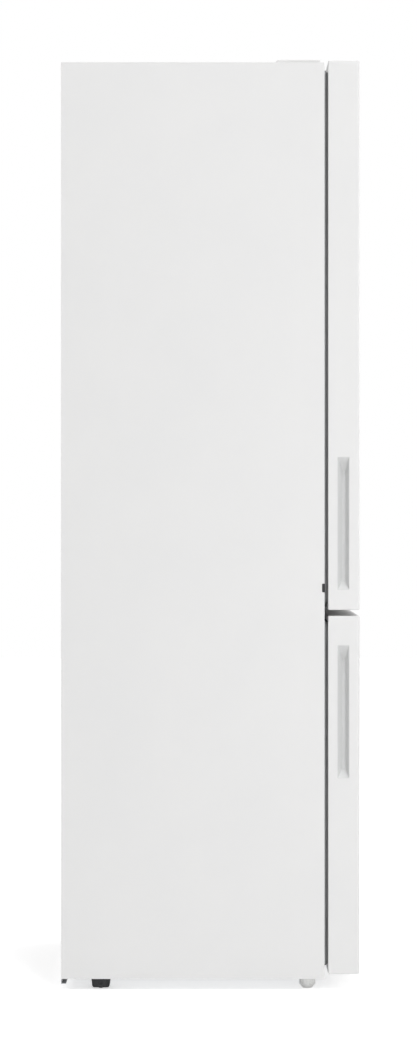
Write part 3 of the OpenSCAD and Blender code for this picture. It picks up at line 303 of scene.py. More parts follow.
def rigid_foam():
    """Cut insulation foam: cream cells with darker skin patches"""
    f = Finish("rigid_foam", (0.72, 0.6, 0.32), 0.85)
    f.tinted(f.grain(25, 4), (0.8, 0.74, 0.6))
    return f.relief(f.cells(1.6), 0.3, 0.6)


def marking_ink():
    f = Finish("marking_ink", (0.09, 0.1, 0.11), 0.6)
    return f.tinted(f.grain(0.6, 2), (1.6, 1.6, 1.6))


def sleeve_foam():
    """Closed-cell black sleeve over the cold line"""
    f = Finish("sleeve_foam", (0.03, 0.03, 0.032), 0.9)
    f.tinted(f.grain(3, 3), (1.8, 1.8, 1.8))
    return f.relief(f.cells(1.2), 0.15, 0.6)


FINISHES = {
    "painted_white": coated_steel(),
    "moulded_white": white_moulding(),
    "liner_white": formed_liner(),
    "galvanised": zinc_sheet(),
    "foam": rigid_foam(),
    "hinge_steel": hinge_plating(),
    "screw_steel": bright_screw(),
    "black_plastic": black_moulding(),
    "black_paint": black_enamel(),
    "dark_rubber": dark_rubber(),
    "roller_plastic": dark_nylon(),
    "grey_plastic": grey_moulding(),
    "copper": tube_copper(),
    "aluminium": bare_aluminium(),
    "seal_grey": seal_vinyl(),
    "glass": shelf_glass(),
    "clear_plastic": clear_moulding("clear_crystal", (0.9, 0.94, 0.95), 0.06, 0.9),
    "drawer_plastic": clear_moulding("milky_drawer", (0.88, 0.92, 0.945), 0.12, 0.72),
    "lens": frosted_lens(),
    "accent_grey": grey_moulding(),
    "fan_white": white_moulding(),
    "foot_plastic": foot_nylon(),
}
# the recess finish is the white moulding darkened as painted shade
SHADED_RECESS = recess_moulding_painted_shade()
INK = marking_ink()
SLEEVE = sleeve_foam()


# Camera, light and floor

def photo_camera():
    """Straight at the left side from 5 m, level with the middle of the picture"""
    side_x, distance, middle_y, middle_z = -297.5, 5000, 4.2, 1018.7
    picture_px, mm_per_px, sensor = 1047, 2.1814, 36
    lens = bpy.data.cameras.new("side_camera")
    lens.sensor_width = sensor
    lens.lens = sensor * distance / (picture_px * mm_per_px)
    lens.clip_end = 60
    camera = in_scene("side_camera", lens)
    camera.location = mm(side_x - distance, middle_y, middle_z)
    camera.rotation_euler = (math.pi / 2, 0, -math.pi / 2)
    bpy.context.scene.camera = camera


def soft_panel(name, place, aim, size, power):
    """A square lamp with soft edges to its shadows, turned to a point"""
    light = bpy.data.lights.new(name, "AREA")
    light.size = size
    light.energy = power
    lamp = in_scene(name, light)
    lamp.location = place
    lamp.rotation_euler = (Vector(aim) - Vector(place)).to_track_quat("-Z", "Y").to_euler()


def seen_directly(nodes, links):
    """1 where a ray comes from the camera, a reflection or through glass"""
    path = nodes.new("ShaderNodeLightPath")
    total = path.outputs["Is Camera Ray"]
    for other in ("Is Glossy Ray", "Is Transmission Ray"):
        join = nodes.new("ShaderNodeMath")
        join.operation = "MAXIMUM"
        links.new(total, join.inputs[0])
        links.new(path.outputs[other], join.inputs[1])
        total = join.outputs[0]
    return total


def white_room(strength):
    """Even daylight of that strength in front of a pure white backdrop"""
    world = bpy.data.worlds.new("white_room")
    bpy.context.scene.world = world
    world.use_nodes = True
    nodes, links = world.node_tree.nodes, world.node_tree.links
    light = nodes["Background"]
    light.inputs["Color"].default_value = (1, 1, 1, 1)
    light.inputs["Strength"].default_value = strength
    backdrop = nodes.new("ShaderNodeBackground")
    backdrop.inputs["Color"].default_value = (1, 1, 1, 1)
    backdrop.inputs["Strength"].default_value = 1
    mix = nodes.new("ShaderNodeMixShader")
    links.new(seen_directly(nodes, links), mix.inputs[0])
    links.new(light.outputs[0], mix.inputs[1])
    links.new(backdrop.outputs[0], mix.inputs[2])
    links.new(mix.outputs[0], nodes["World Output"].inputs["Surface"])


def pale_floor(half, lift):
    """White floor, lifted to the backdrop's white where no shadow falls on it"""
    mesh = bpy.data.meshes.new("floor")
    mesh.from_pydata([(-half, -half, 0), (half, -half, 0), (half, half, 0), (-half, half, 0)],
        [], [(0, 1, 2, 3)])
    floor = in_scene("floor", mesh)
    material = bpy.data.materials.new("floor_white")
    material.use_nodes = True
    nodes, links = material.node_tree.nodes, material.node_tree.links
    nodes.remove(nodes["Principled BSDF"])
    matt = nodes.new("ShaderNodeBsdfDiffuse")
    matt.inputs["Color"].default_value = (0.92, 0.92, 0.92, 1)
    glow = nodes.new("ShaderNodeEmission")
    scale = nodes.new("ShaderNodeMath")
    scale.operation = "MULTIPLY"
    scale.inputs[1].default_value = lift
    links.new(seen_directly(nodes, links), scale.inputs[0])
    links.new(scale.outputs[0], glow.inputs["Strength"])
    both = nodes.new("ShaderNodeAddShader")
    links.new(matt.outputs[0], both.inputs[0])
    links.new(glow.outputs[0], both.inputs[1])
    links.new(both.outputs[0], nodes["Material Output"].inputs["Surface"])
    mesh.materials.append(material)


photo_camera()
white_room(0.5)
soft_panel("side_lamp", (-5.2, -2.0, 0.7), (-0.3, -0.1, 0.8), 2.2, 67)
soft_panel("high_lamp", (-3.3, -1.8, 7.2), (-0.3, -0.1, 1.0), 2.4, 212)
soft_panel("front_lamp", (2.4, -4.6, 1.9), (0.2, -0.3, 1.0), 2.0, 40)
soft_panel("rear_lamp", (2.6, 4.4, 2.0), (0, 0.3, 1.0), 3.0, 42)
pale_floor(12, 0.56)


# Pieces from the solids

FLAT = math.radians(0.6)  # faces that turn less than this are one face
ROLLED = math.radians(28)  # an edge that turns more is rolled
CORNER = math.radians(58)  # a sharper turn is shaded as a corner
FOLD = math.radians(120)  # a face that turns back further lies on its neighbour
NARROW = 0.35  # how much of a face's width one rolled edge may take
MOST_FOLDED = 1e-3  # doubled skin in square metres that is let pass
LEAST_SKIN, MOST_SKIN = 0.9, 1.01  # a finished piece's area as a share of its solid's
SLACK = 5e-5  # how far in metres a finished piece may leave its solid's box


def set_smooth_faces(mesh):
    mesh.polygons.foreach_set("use_smooth", [True] * len(mesh.polygons))


def room_beside(edge, face):
    """How far a face reaches from the line of one of its edges"""
    start = edge.verts[0].co
    along = (edge.verts[1].co - start).normalized()
    return max((v.co - start - along * (v.co - start).dot(along)).length for v in face.verts)


def joined_faces(node, radius, flush, split):
    """The node's solid with whole faces, and how far each edge is to be rolled in"""
    mesh = SOLIDS[node].data.copy()
    mesh.materials.clear()
    grown = bmesh.new()
    grown.from_mesh(mesh)
    bmesh.ops.remove_doubles(grown, verts=grown.verts, dist=1e-5)
    bmesh.ops.dissolve_limit(grown, angle_limit=FLAT, verts=grown.verts, edges=grown.edges)
    if split == "convex":
        bmesh.ops.connect_verts_concave(grown, faces=grown.faces)
    elif split == "quads":
        bmesh.ops.triangulate(grown, faces=grown.faces)
        bmesh.ops.join_triangles(grown, faces=grown.faces,
            angle_face_threshold=FLAT, angle_shape_threshold=math.pi)
    weight = grown.edges.layers.float.new("bevel_weight_edge")
    for edge in grown.edges:
        if len(edge.link_faces) == 2 and edge.calc_face_angle(0) > ROLLED:
            if any(all(abs(v.co.z - z) < 1e-4 for v in edge.verts) for z in flush):
                edge.smooth = False
                continue
            room = min(room_beside(edge, face) for face in edge.link_faces)
            edge[weight] = min(1, NARROW * room / radius)
    grown.to_mesh(mesh)
    grown.free()
    set_smooth_faces(mesh)
    return mesh


def skin_area(mesh):
    mesh.calc_loop_triangles()
    return sum(triangle.area for triangle in mesh.loop_triangles)


def folded_area(mesh, node):
    """Skin that lies doubled, or no limit where it leaves the solid's box or loses its area"""
    low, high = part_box(node)
    area = skin_area(mesh)
    if not LEAST_SKIN < area / skin_area(SOLIDS[node].data) < MOST_SKIN:
        return math.inf
    if any(not low[i] - SLACK < v.co[i] < high[i] + SLACK for v in mesh.vertices
            for i in range(3)):
        return math.inf
    doubled = area - sum(face.area for face in mesh.polygons)
    shape = bmesh.new()
    shape.from_mesh(mesh)
    for edge in shape.edges:
        if len(edge.link_faces) == 2 and edge.calc_face_angle(0) > FOLD:
            doubled += min(face.calc_area() for face in edge.link_faces)
    shape.free()
    return doubled


def keep_corners(mesh):
    """Shades the rolled edges smooth and leaves sharper turns as corners"""
    shape = bmesh.new()
    shape.from_mesh(mesh)
    for edge in shape.edges:
        edge.smooth = len(edge.link_faces) == 2 and edge.calc_face_angle(0) < CORNER
    shape.to_mesh(mesh)
    shape.free()
    if "custom_normal" in mesh.attributes:
        mesh.attributes.remove(mesh.attributes["custom_normal"])


def dress(node, radius_mm, finish=None, steps=2, flush=()):
    """The node's solid with its edges rolled to a radius, less where its faces are narrow.

    Edges at the flush heights meet another piece there and stay sharp. Of three ways to split
    the faces, the one with the least folds is kept. Where all fold, the radius gets smaller.
    """
    piece = in_scene(node + "_finished", bpy.data.meshes.new(node))
    rolled = piece.modifiers.new("rolled_edges", "BEVEL")
    rolled.limit_method = "WEIGHT"
    rolled.segments = steps
    rolled.use_clamp_overlap = False
    rolled.miter_outer = "MITER_ARC"
    for share in (1, 0.6, 0.35, 0.2, 0.1):
        rolled.width = radius_mm / 1000 * share
        tries = []
        for split in ("whole", "convex", "quads"):
            piece.data = joined_faces(node, rolled.width, flush, split)
            mesh = mesh_made(piece)
            tries.append((folded_area(mesh, node), len(tries), mesh))
        doubled, _, rolled_mesh = min(tries)
        if doubled < MOST_FOLDED:
            break
    piece.modifiers.clear()
    piece.data = rolled_mesh
    keep_corners(rolled_mesh)
    flat = piece.modifiers.new("flat_faces", "WEIGHTED_NORMAL")
    flat.weight = 60
    flat.keep_sharp = True
    piece.data.materials.append((finish or FINISHES[SLOT_OF[node]]).material)
    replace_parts(piece, node)
    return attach(piece, BODY_OF[node])


def carried_over(*nodes):
    """Solids that stay as they are, in their finish"""
    for node in nodes:
        SOLIDS[node].data.materials.clear()
        SOLIDS[node].data.materials.append(FINISHES[SLOT_OF[node]].material)


# Rules that make what repeats or follows a path

class Rule:
    """A geometry tree with named inputs, whose result is one plain mesh in one finish"""

    def __init__(self, name, **inputs):
        self.tree = bpy.data.node_groups.new(name, "GeometryNodeTree")
        self.tree.interface.new_socket("Geometry", in_out="OUTPUT",
            socket_type="NodeSocketGeometry")
        for label, kind in {**inputs, "Finish": "Material"}.items():
            self.tree.interface.new_socket(label, in_out="INPUT", socket_type="NodeSocket" + kind)
        self.given = self.tree.nodes.new("NodeGroupInput").outputs

    def add(self, kind, wires=None, **settings):
        """A node whose sockets take values, other nodes' outputs, or inputs of the rule by name"""
        node = self.tree.nodes.new(kind)
        for name, value in settings.items():
            setattr(node, name, value)
        for socket, value in (wires or {}).items():
            value = self.given[value] if isinstance(value, str) else value
            if isinstance(value, bpy.types.NodeSocket):
                self.tree.links.new(value, node.inputs[socket])
            else:
                node.inputs[socket].default_value = value
        return node

    def part(self, label):
        """The mesh or curve of the object given under that label"""
        return self.add("GeometryNodeObjectInfo", {"Object": label}).outputs["Geometry"]

    def copies(self, points, **wires):
        """The part on every point"""
        return self.add("GeometryNodeInstanceOnPoints", {"Points": points,
            "Instance": self.part("Part"), **wires}).outputs[0]

    def swept(self, path, profile, **wires):
        return self.add("GeometryNodeCurveToMesh", {"Curve": path, "Profile Curve": profile,
            **wires}).outputs[0]

    def placed(self, geometry, **wires):
        return self.add("GeometryNodeTransform", {"Geometry": geometry, **wires}).outputs[0]

    def close(self, geometry):
        real = self.add("GeometryNodeRealizeInstances", {"Geometry": geometry})
        coated = self.add("GeometryNodeSetMaterial", {"Geometry": real.outputs[0],
            "Material": "Finish"})
        self.add("NodeGroupOutput", {0: coated.outputs[0]})
        return self

    def make(self, name, body, slot, finish=None, **values):
        """A piece on that body from these inputs, in the slot's finish or in another"""
        piece = in_scene(name, bpy.data.meshes.new(name))
        modifier = piece.modifiers.new("rule", "NODES")
        modifier.node_group = self.tree
        values["Finish"] = (finish or FINISHES[slot]).material
        for item in self.tree.interface.items_tree:
            if item.in_out == "INPUT":
                modifier[item.identifier] = values[item.name]
        bpy.context.view_layer.update()
        mesh = mesh_made(piece)
        piece.modifiers.clear()
        piece.data = mesh
        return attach(piece, body)


def row_rule():
    """Copies of a part in a straight row"""
    rule = Rule("row_of_parts", Part="Object", Count="Int", First="Vector", Step="Vector")
    line = rule.add("GeometryNodeMeshLine", {"Count": "Count", "Start Location": "First",
        "Offset": "Step"}, mode="OFFSET")
    return rule.close(rule.copies(line.outputs[0]))


def spots_rule():
    """Copies of a part on the points of a mesh"""
    rule = Rule("parts_on_spots", Part="Object", Spots="Object")
    return rule.close(rule.copies(rule.part("Spots")))


def ring_rule():
    """Copies of a part turned about its Z axis, and then the whole ring turned and placed"""
    rule = Rule("ring_of_parts", Part="Object", Count="Int", Centre="Vector", Turn="Vector")
    ring = rule.add("GeometryNodeMeshCircle", {"Vertices": "Count", "Radius": 0.0})
    share = rule.add("ShaderNodeMath", {0: rule.add("GeometryNodeInputIndex").outputs[0],
        1: "Count"}, operation="DIVIDE")
    angle = rule.add("ShaderNodeMath", {0: share.outputs[0], 1: 2 * math.pi},
        operation="MULTIPLY")
    facing = rule.add("ShaderNodeCombineXYZ", {"Z": angle.outputs[0]})
    copies = rule.copies(ring.outputs[0], Rotation=facing.outputs[0])
    return rule.close(rule.placed(copies, Translation="Centre", Rotation="Turn"))


def loop_rule():
    """A profile swept round an upright rectangle with round corners"""
    rule = Rule("swept_loop", Profile="Object", Width="Float", Height="Float", Corner="Float",
        Centre="Vector")
    sides = rule.add("GeometryNodeCurvePrimitiveQuadrilateral", {"Width": "Width",
        "Height": "Height"})
    corners = rule.add("GeometryNodeFilletCurve", {"Curve": sides.outputs[0],
        "Radius": "Corner", "Count": 5}, mode="POLY")
    swept = rule.swept(corners.outputs[0], rule.part("Profile"))
    return rule.close(rule.placed(swept, Translation="Centre", Rotation=(math.pi / 2, 0, 0)))


def tube_rule():
    """A round tube along a path of straight runs, with its corners bent to a radius"""
    rule = Rule("bent_tube", Path="Object", Bend="Float", Radius="Float")
    bent = rule.add("GeometryNodeFilletCurve", {"Curve": rule.part("Path"),
        "Radius": "Bend", "Count": 8, "Limit Radius": True}, mode="POLY")
    round_wall = rule.add("GeometryNodeCurvePrimitiveCircle", {"Resolution": 16,
        "Radius": "Radius"})
    return rule.close(rule.swept(bent.outputs[0], round_wall.outputs[0], **{"Fill Caps": True}))


def thread_rule():
    """A screw thread as a profile along a spiral"""
    rule = Rule("screw_thread", Radius="Float", Turns="Float", Height="Float", Ridge="Float",
        Foot="Vector")
    spiral = rule.add("GeometryNodeCurveSpiral", {"Resolution": 24, "Rotations": "Turns",
        "Start Radius": "Radius", "End Radius": "Radius", "Height": "Height"})
    ridge = rule.add("GeometryNodeCurvePrimitiveCircle", {"Resolution": 5,
        "Radius": "Ridge"})
    swept = rule.swept(spiral.outputs[0], ridge.outputs[0], **{"Fill Caps": True})
    return rule.close(rule.placed(swept, Translation="Foot"))


ROW, SPOTS, RING = row_rule(), spots_rule(), ring_rule()
LOOP, TUBE, THREAD = loop_rule(), tube_rule(), thread_rule()


# Parts that the rules repeat

def pattern_part(name, points, faces):
    """A hidden part in millimetres for a rule to copy"""
    mesh = bpy.data.meshes.new(name)
    mesh.from_pydata([mm(*p) for p in points], [], faces)
    shape = bmesh.new()
    shape.from_mesh(mesh)
    bmesh.ops.remove_doubles(shape, verts=shape.verts, dist=1e-7)
    if faces:
        bmesh.ops.recalc_face_normals(shape, faces=shape.faces)
    shape.to_mesh(mesh)
    shape.free()
    set_smooth_faces(mesh)
    mesh.set_sharp_from_angle(angle=math.radians(40))
    part = in_scene(name, mesh)
    part.hide_render = True
    return part


def lofted(name, *skins):
    """One part of closed skins, each over rings of points with capped ends"""
    points, faces = [], []
    for rings in skins:
        n, starts = len(rings[0]), [len(points) + len(rings[0]) * i for i in range(len(rings))]
        faces += [(a + k, a + (k + 1) % n, b + (k + 1) % n, b + k)
            for a, b in zip(starts, starts[1:]) for k in range(n)]
        faces += [tuple(range(a, a + n)) for a in (starts[0], starts[-1])]
        points += [p for ring in rings for p in ring]
    return pattern_part(name, points, faces)


def bead(name, length, width, height, along, up):
    """A long rounded swelling with tapered ends, its foot in the plane across up"""
    along, up = Vector(along), Vector(up)
    across = along.cross(up)
    rings = []
    for place, size in ((-0.5, 0.05), (-0.5, 0.6), (-0.49, 0.9), (-0.475, 1), (0.475, 1),
            (0.49, 0.9), (0.5, 0.6), (0.5, 0.05)):
        middle = along * (place * length)
        rings.append([middle + across * (math.cos(a) * width / 2 * size) +
            up * (math.sin(a) * height * size)
            for a in [math.pi * k / 8 for k in range(9)]] +
            [middle - across * (width / 2 * size) - up * 0.3,
             middle + across * (width / 2 * size) - up * 0.3])
    return lofted(name, rings)


def turned(name, outline, steps):
    """A solid turned about Z from (radius, height) points that start and end on the axis"""
    rings = [[(r * math.cos(2 * math.pi * k / steps), r * math.sin(2 * math.pi * k / steps), z)
        for k in range(steps)] for r, z in outline]
    return lofted(name, rings)


def aimed(part, direction):
    """The part's mesh with its Z axis turned to a direction"""
    part.data.transform(Vector(direction).to_track_quat("Z", "Y").to_matrix().to_4x4())
    return part


def moved(part, shift):
    """The part's mesh moved by a vector in metres"""
    part.data.transform(Matrix.Translation(shift))
    return part


def cross_head(name, radius, dome, sunk, direction):
    """A screw head with a cross recess, its seat at z = 0 and its axis along a direction"""
    slot_w, slot_r, depth = radius * 0.16, radius * 0.62, radius * 0.42
    steps, rings = 48, [1.0, 0.97, 0.9, 0.78, 0.66, 0.6, 0.45, 0.3, 0.2, 0.12, 0.04]
    outline = []
    for share in rings:
        ring = []
        for k in range(steps):
            a = 2 * math.pi * k / steps
            x, y = share * radius * math.cos(a), share * radius * math.sin(a)
            top = dome * math.sqrt(max(0, 1 - share ** 2)) if dome else 0
            if math.hypot(x, y) < slot_r and min(abs(x), abs(y)) < slot_w:
                top -= depth * (1 - math.hypot(x, y) / slot_r * 0.6)
            ring.append((x, y, top))
        outline.append(ring)
    foot = [(radius * 0.55 * math.cos(2 * math.pi * k / steps),
        radius * 0.55 * math.sin(2 * math.pi * k / steps), -sunk) for k in range(steps)]
    return aimed(lofted(name, [foot] + outline), direction)


def hidden_curve(name, points, closed=False):
    """A path for a tube, or a closed outline for a sweep, in millimetres"""
    curve = bpy.data.curves.new(name, "CURVE")
    curve.dimensions = "3D"
    line = curve.splines.new("POLY")
    line.points.add(len(points) - 1)
    for point, place in zip(line.points, points):
        point.co = (*mm(*place), 1)
    line.use_cyclic_u = closed
    path = in_scene(name, curve)
    path.hide_render = True
    return path


def on_spots(name, slot, part, places, finish=None):
    """Copies of the part on the cabinet, at places in millimetres"""
    return SPOTS.make(name, "cabinet", slot, finish, Part=part,
        Spots=pattern_part(name + "_places", places, []))


def finished(part, body, slot, finish=None):
    """Shows a part that no rule copies, on its body and in its finish"""
    part.hide_render = False
    part.data.materials.append((finish or FINISHES[slot]).material)
    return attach(part, body)


def middle_of(node):
    low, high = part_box(node)
    return (low + high) / 2


# Cabinet

def make_cabinet():
    for node, radius in (("side_panel_left", 1.8), ("side_panel_right", 1.8),
            ("top_panel", 1.2), ("back_panel", 0.8), ("base_plate", 0.6), ("center_rail", 1.0),
            ("top_trim", 1.0), ("top_hinge", 0.5), ("middle_hinge", 0.6),
            ("bottom_hinge", 0.6), ("hinge_plugs", 0.5), ("roller_housings", 1.2)):
        dress(node, radius)
    dress("fridge_liner", 4, steps=3)
    dress("freezer_liner", 4, steps=3)
    carried_over("foam_body", "condenser_coils")


def make_screws():
    """Cross-head screws of the hinges, and the pan heads round the back panel"""
    heads = (("middle_hinge_screws", (0, -1, 0), [(248, -252, z) for z in (815.5, 831.5)]),
        ("bottom_hinge_screws", (0, 0, -1), [(285, y, 28) for y in (-229, -197)]),
        ("top_hinge_screws", (0, 0, 1), [(250, -225, 2028), (250, -179, 2028),
            (280, -179, 2028)]))
    for name, direction, places in heads:
        head = cross_head(name + "_head", 4.8, 0, 2.3, direction)
        piece = on_spots(name, "screw_steel", head, places)
    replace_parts(piece, "hinge_screws")
    pan = cross_head("back_screw_head", 4.2, 1.1, 0.5, (0, 1, 0))
    low, high = box_mm("back_panel")
    left, right, top = low.x + 12, high.x - 12, high.z - 12
    rows = [(x, high.y, z) for x in (left, 0, right) for z in (285, top)]
    rows += [(x, high.y, z) for x in (left, right) for z in (620, 960, 1300, 1640)]
    on_spots("back_panel_screws", "screw_steel", pan, rows)


def make_sheet_beads():
    """Pressed stiffening beads of the back panel and of the base plate"""
    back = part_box("back_panel")[1].y
    ROW.make("back_panel_beads", "cabinet", "galvanised",
        Part=bead("back_bead", 1560, 12, 0.8, (0, 0, 1), (0, 1, 0)), Count=5,
        First=(-0.2, back, 1.14), Step=(0.1, 0, 0))
    ROW.make("base_plate_beads", "cabinet", "galvanised",
        Part=bead("base_bead", 400, 12, 1.2, (1, 0, 0), (0, 0, -1)), Count=7,
        First=(0, -0.19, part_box("base_plate")[0].z + 0.018), Step=(0, 0.07, 0))


# Doors

def make_doors():
    for door in ("upper", "lower"):
        joints = [corner.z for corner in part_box(door + "_door_panel")]
        dress(door + "_door_panel", 1.0, flush=joints)
        dress(door + "_door_caps", 2.4, FINISHES["painted_white"], steps=3, flush=joints)
        make_grip(door)
        dress(door + "_door_liner", 3, steps=3)
        carried_over(door + "_door_foam")
        make_seal(door)


def make_grip(door):
    """Moulded finger recess: a rolled rim, four drawn-in sides and a filleted narrow floor"""
    node = door + "_door_grip"
    low, high = box_mm(node)
    depth, edge, front, floor_w, foot_end, top_end = 20, 1, 7, 7, 18, 30

    def ring(back, y0, y1, z0, z1, corner):
        """Corner-rounded rectangle at a depth behind the door's side"""
        points = []
        for y, z, start in ((y1, z1, 0), (y0, z1, 90), (y0, z0, 180), (y1, z0, 270)):
            for k in range(7):
                a = math.radians(start + 15 * k)
                points.append((low.x + back,
                    y + corner * (math.cos(a) - math.copysign(1, y - (y0 + y1) / 2)),
                    z + corner * (math.sin(a) - math.copysign(1, z - (z0 + z1) / 2))))
        return points

    def trough(back, corner, grow=0.0):
        """Ring on the four slopes at that depth, moved out by grow"""
        share = back / depth
        return ring(back, low.y + edge + (front - edge) * share - grow,
            high.y - edge - (high.y - low.y - edge - front - floor_w) * share + grow,
            low.z + edge + (foot_end - edge) * share - grow,
            high.z - edge - (top_end - edge) * share + grow, corner)

    skin = [ring(back, low.y + inset, high.y - inset, low.z + inset, high.z - inset, 1)
        for back, inset in ((high.x - low.x, 0.4), (1, 0.02), (0, 0.05))]
    skin += [trough(0, 1.2, 0.55), trough(0.15, 1.2, 0.28), trough(0.5, 1.3, 0.08),
        trough(1.1, 1.4)]
    skin += [trough(back, 1.4 + 0.07 * back) for back in (4, 8, 12, 16, 18)]
    skin += [trough(19.4, 2.6, -0.1), trough(19.8, 2.3, -0.35), trough(20, 2, -0.9)]
    pocket = lofted(door + "_grip", skin)
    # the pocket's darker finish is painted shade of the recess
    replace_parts(finished(pocket, door + "_door", "moulded_white", SHADED_RECESS), node)


def make_seal(door):
    """Magnetic seal: base, bellows and flat magnet pocket swept round the door's back"""
    node = door + "_door_gasket"
    low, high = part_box(node)
    half, depth = 8, (high.y - low.y) * 1000
    side = [(4, 0), (3.4, 0.9), (5, 1.8), (3.6, 2.7), (3.6, 3.2), (7.4, 3.6), (half, 4.1),
        (half, depth - 0.5), (7.4, depth)]
    outline = [(x, y, 0) for x, y in side] + [(-x, y, 0) for x, y in reversed(side)]
    piece = LOOP.make(door + "_seal", door + "_door", "seal_grey",
        Profile=hidden_curve(door + "_seal_profile", outline, closed=True),
        Width=high.x - low.x - 2 * half / 1000, Height=high.z - low.z - 2 * half / 1000,
        Corner=0.009, Centre=(middle_of(node).x, low.y, middle_of(node).z))
    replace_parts(piece, node)


# Inside of the fridge

def make_fridge_inside():
    for node, radius in (("glass_shelves", 0.8), ("shelf_trims", 1.5), ("control_box", 1.2),
            ("lamp_lens", 0.6), ("crisper_drawer", 1.6), ("humidity_slider", 0.7),
            ("door_bin_1", 1.2), ("door_bin_2", 1.2), ("door_bin_3", 1.2),
            ("bottle_bin", 1.2), ("dairy_lid", 0.9), ("bottle_holder", 0.9),
            ("thermostat_dial", 0.8), ("freeze_button", 0.8), ("air_duct", 2.5)):
        dress(node, radius)


def slat(name):
    """Thin slat that leans back, its front edge at y = 0"""
    length, depth, half_thick, lean = 100.6, 7, 0.5, math.radians(35)
    reach = Vector((0, math.cos(lean), math.sin(lean))) * depth
    rings = []
    for x in (-length / 2, length / 2):
        ring = []
        for t, side in ((0, 0), (0.08, 1), (0.9, 1), (1, 0), (0.9, -1), (0.08, -1)):
            middle = reach * t
            ring.append((x, middle.y - side * half_thick * math.sin(lean),
                middle.z + side * half_thick * math.cos(lean) - 1.5))
        rings.append(ring)
    return lofted(name, rings)


def make_louvres():
    """Slats behind the air slots of the duct and of the evaporator's cover"""
    shelf_gap, slot_step = 211, 14
    front = box_mm("air_duct")[0].y + 0.6
    places = [(0, front, box_mm("glass_shelves")[0].z + shelf_gap * (i + 0.5) + k * slot_step)
        for i in range(4) for k in (-1, 0, 1)]
    on_spots("duct_slats", "moulded_white", slat("duct_slat"), places)
    front = box_mm("evaporator_cover")[0].y + 0.4
    fan_z = middle_of("fan_blade").z * 1000
    places = [(side * 140, front, fan_z + (k - 2.5) * slot_step) for side in (-1, 1)
        for k in range(6)]
    on_spots("freezer_slats", "moulded_white", slat("freezer_slat"), places)


def make_lens_flutes():
    """Half-round flutes under the lamp cover that spread its light"""
    low, high = box_mm("lamp_lens")
    flute = bead("lens_flute", 66, 4.2, 0.9, (0, 1, 0), (0, 0, -1))
    ROW.make("lens_flutes", "cabinet", "lens", Part=flute, Count=37,
        First=mm(-75.6, (low.y + high.y) / 2, low.z + 0.1), Step=mm(4.2, 0, 0))


def printed(name, label, place):
    """A numeral on a face of the cabinet that looks to the front"""
    height, size_for_height = 2.3, 1.4
    words = bpy.data.curves.new(name, "FONT")
    words.body = label
    words.size = height / 1000 * size_for_height
    words.align_x = "CENTER"
    words.align_y = "CENTER"
    words.extrude = 0.00008
    sign = in_scene(name + "_words", words)
    bpy.context.view_layer.update()
    mesh = mesh_made(sign)
    bpy.data.objects.remove(sign)
    for v in mesh.vertices:
        v.co = mm(*place) + Vector((v.co.x, -v.co.z, v.co.y))
    mesh.materials.clear()
    finished(in_scene(name, mesh), "cabinet", "moulded_white", INK)


def make_dial_marks():
    """Settings 1 to 5 round the dial, ticks between them, and a snow crystal by the button"""
    face = box_mm("control_box")[0].y
    centre = middle_of("thermostat_dial") * 1000
    for setting in range(5):
        a = math.radians(-130 + 65 * setting)
        printed(f"setting_{setting + 1}", str(setting + 1),
            (centre.x + 17 * math.sin(a), face, centre.z + 16.7 * math.cos(a)))
    ticks = []
    for step in range(21):
        if step % 5:
            a = math.radians(-130 + 13 * step)
            ticks.append((centre.x + 16.8 * math.sin(a), face - 0.02,
                centre.z + 16.8 * math.cos(a)))
    dot = turned("tick_dot", [(0.02, 0.06), (0.3, 0.06), (0.32, 0), (0.02, -0.05)], 10)
    on_spots("dial_ticks", "moulded_white", aimed(dot, (0, -1, 0)), ticks, INK)
    arm = lofted("crystal_arm", [
        [(r, w, 0.08), (r, -w, 0.08), (r, -w, -0.05), (r, w, -0.05)]
        for r, w in ((0.3, 0.14), (1.5, 0.14), (1.55, 0.7), (1.75, 0.7), (1.8, 0.14),
            (2.8, 0.14), (2.95, 0.05))])
    RING.make("fast_freeze_mark", "cabinet", "moulded_white", INK, Part=arm, Count=6,
        Centre=mm(middle_of("freeze_button").x * 1000 - 12, face, centre.z),
        Turn=(math.pi / 2, 0, 0))


def make_front_beads():
    """Moulded lines across the fronts of the bins, the crisper and the freezer drawers"""
    for node, count in (("door_bin_1", 2), ("door_bin_2", 2), ("door_bin_3", 2),
            ("bottle_bin", 3)):
        low, high = box_mm(node)
        line = bead(node + "_line", high.x - low.x - 34, 4, 0.9, (1, 0, 0), (0, 1, 0))
        ROW.make(node + "_lines", "upper_door", "clear_plastic", Part=line, Count=count,
            First=mm(0, high.y, low.z + 14), Step=mm(0, 0, 11))
    low, high = box_mm("crisper_drawer")
    line = bead("crisper_line", high.x - low.x - 60, 5, 1, (1, 0, 0), (0, -1, 0))
    ROW.make("crisper_lines", "crisper", "clear_plastic", Part=line, Count=3,
        First=mm(0, low.y + 14, low.z + 24), Step=mm(0, 0, 16))
    for level in ("top", "middle", "bottom"):
        low, high = box_mm("freezer_drawer_" + level)
        line = bead(level + "_drawer_line", high.x - low.x - 60, 6, 1.2, (1, 0, 0), (0, -1, 0))
        ROW.make(level + "_drawer_lines", "drawer_" + level, "drawer_plastic", Part=line,
            Count=int((high.z - low.z - 70) / 20), First=mm(0, low.y + 14, low.z + 22),
            Step=mm(0, 0, 20))


# Inside of the freezer

def make_freezer_inside():
    for level in ("top", "middle", "bottom"):
        dress("freezer_drawer_" + level, 1.6)
    dress("evaporator_cover", 1.0)
    dress("fan_motor", 1.0)
    low, high = box_mm("evaporator_cover")
    spots = [(x, low.y, z) for x in (low.x + 26, high.x - 26)
        for z in (low.z + 60, (low.z + high.z) / 2, high.z - 24)]
    on_spots("cover_screws", "moulded_white",
        cross_head("cover_screw_head", 4, 1.4, 0.4, (0, -1, 0)), spots)


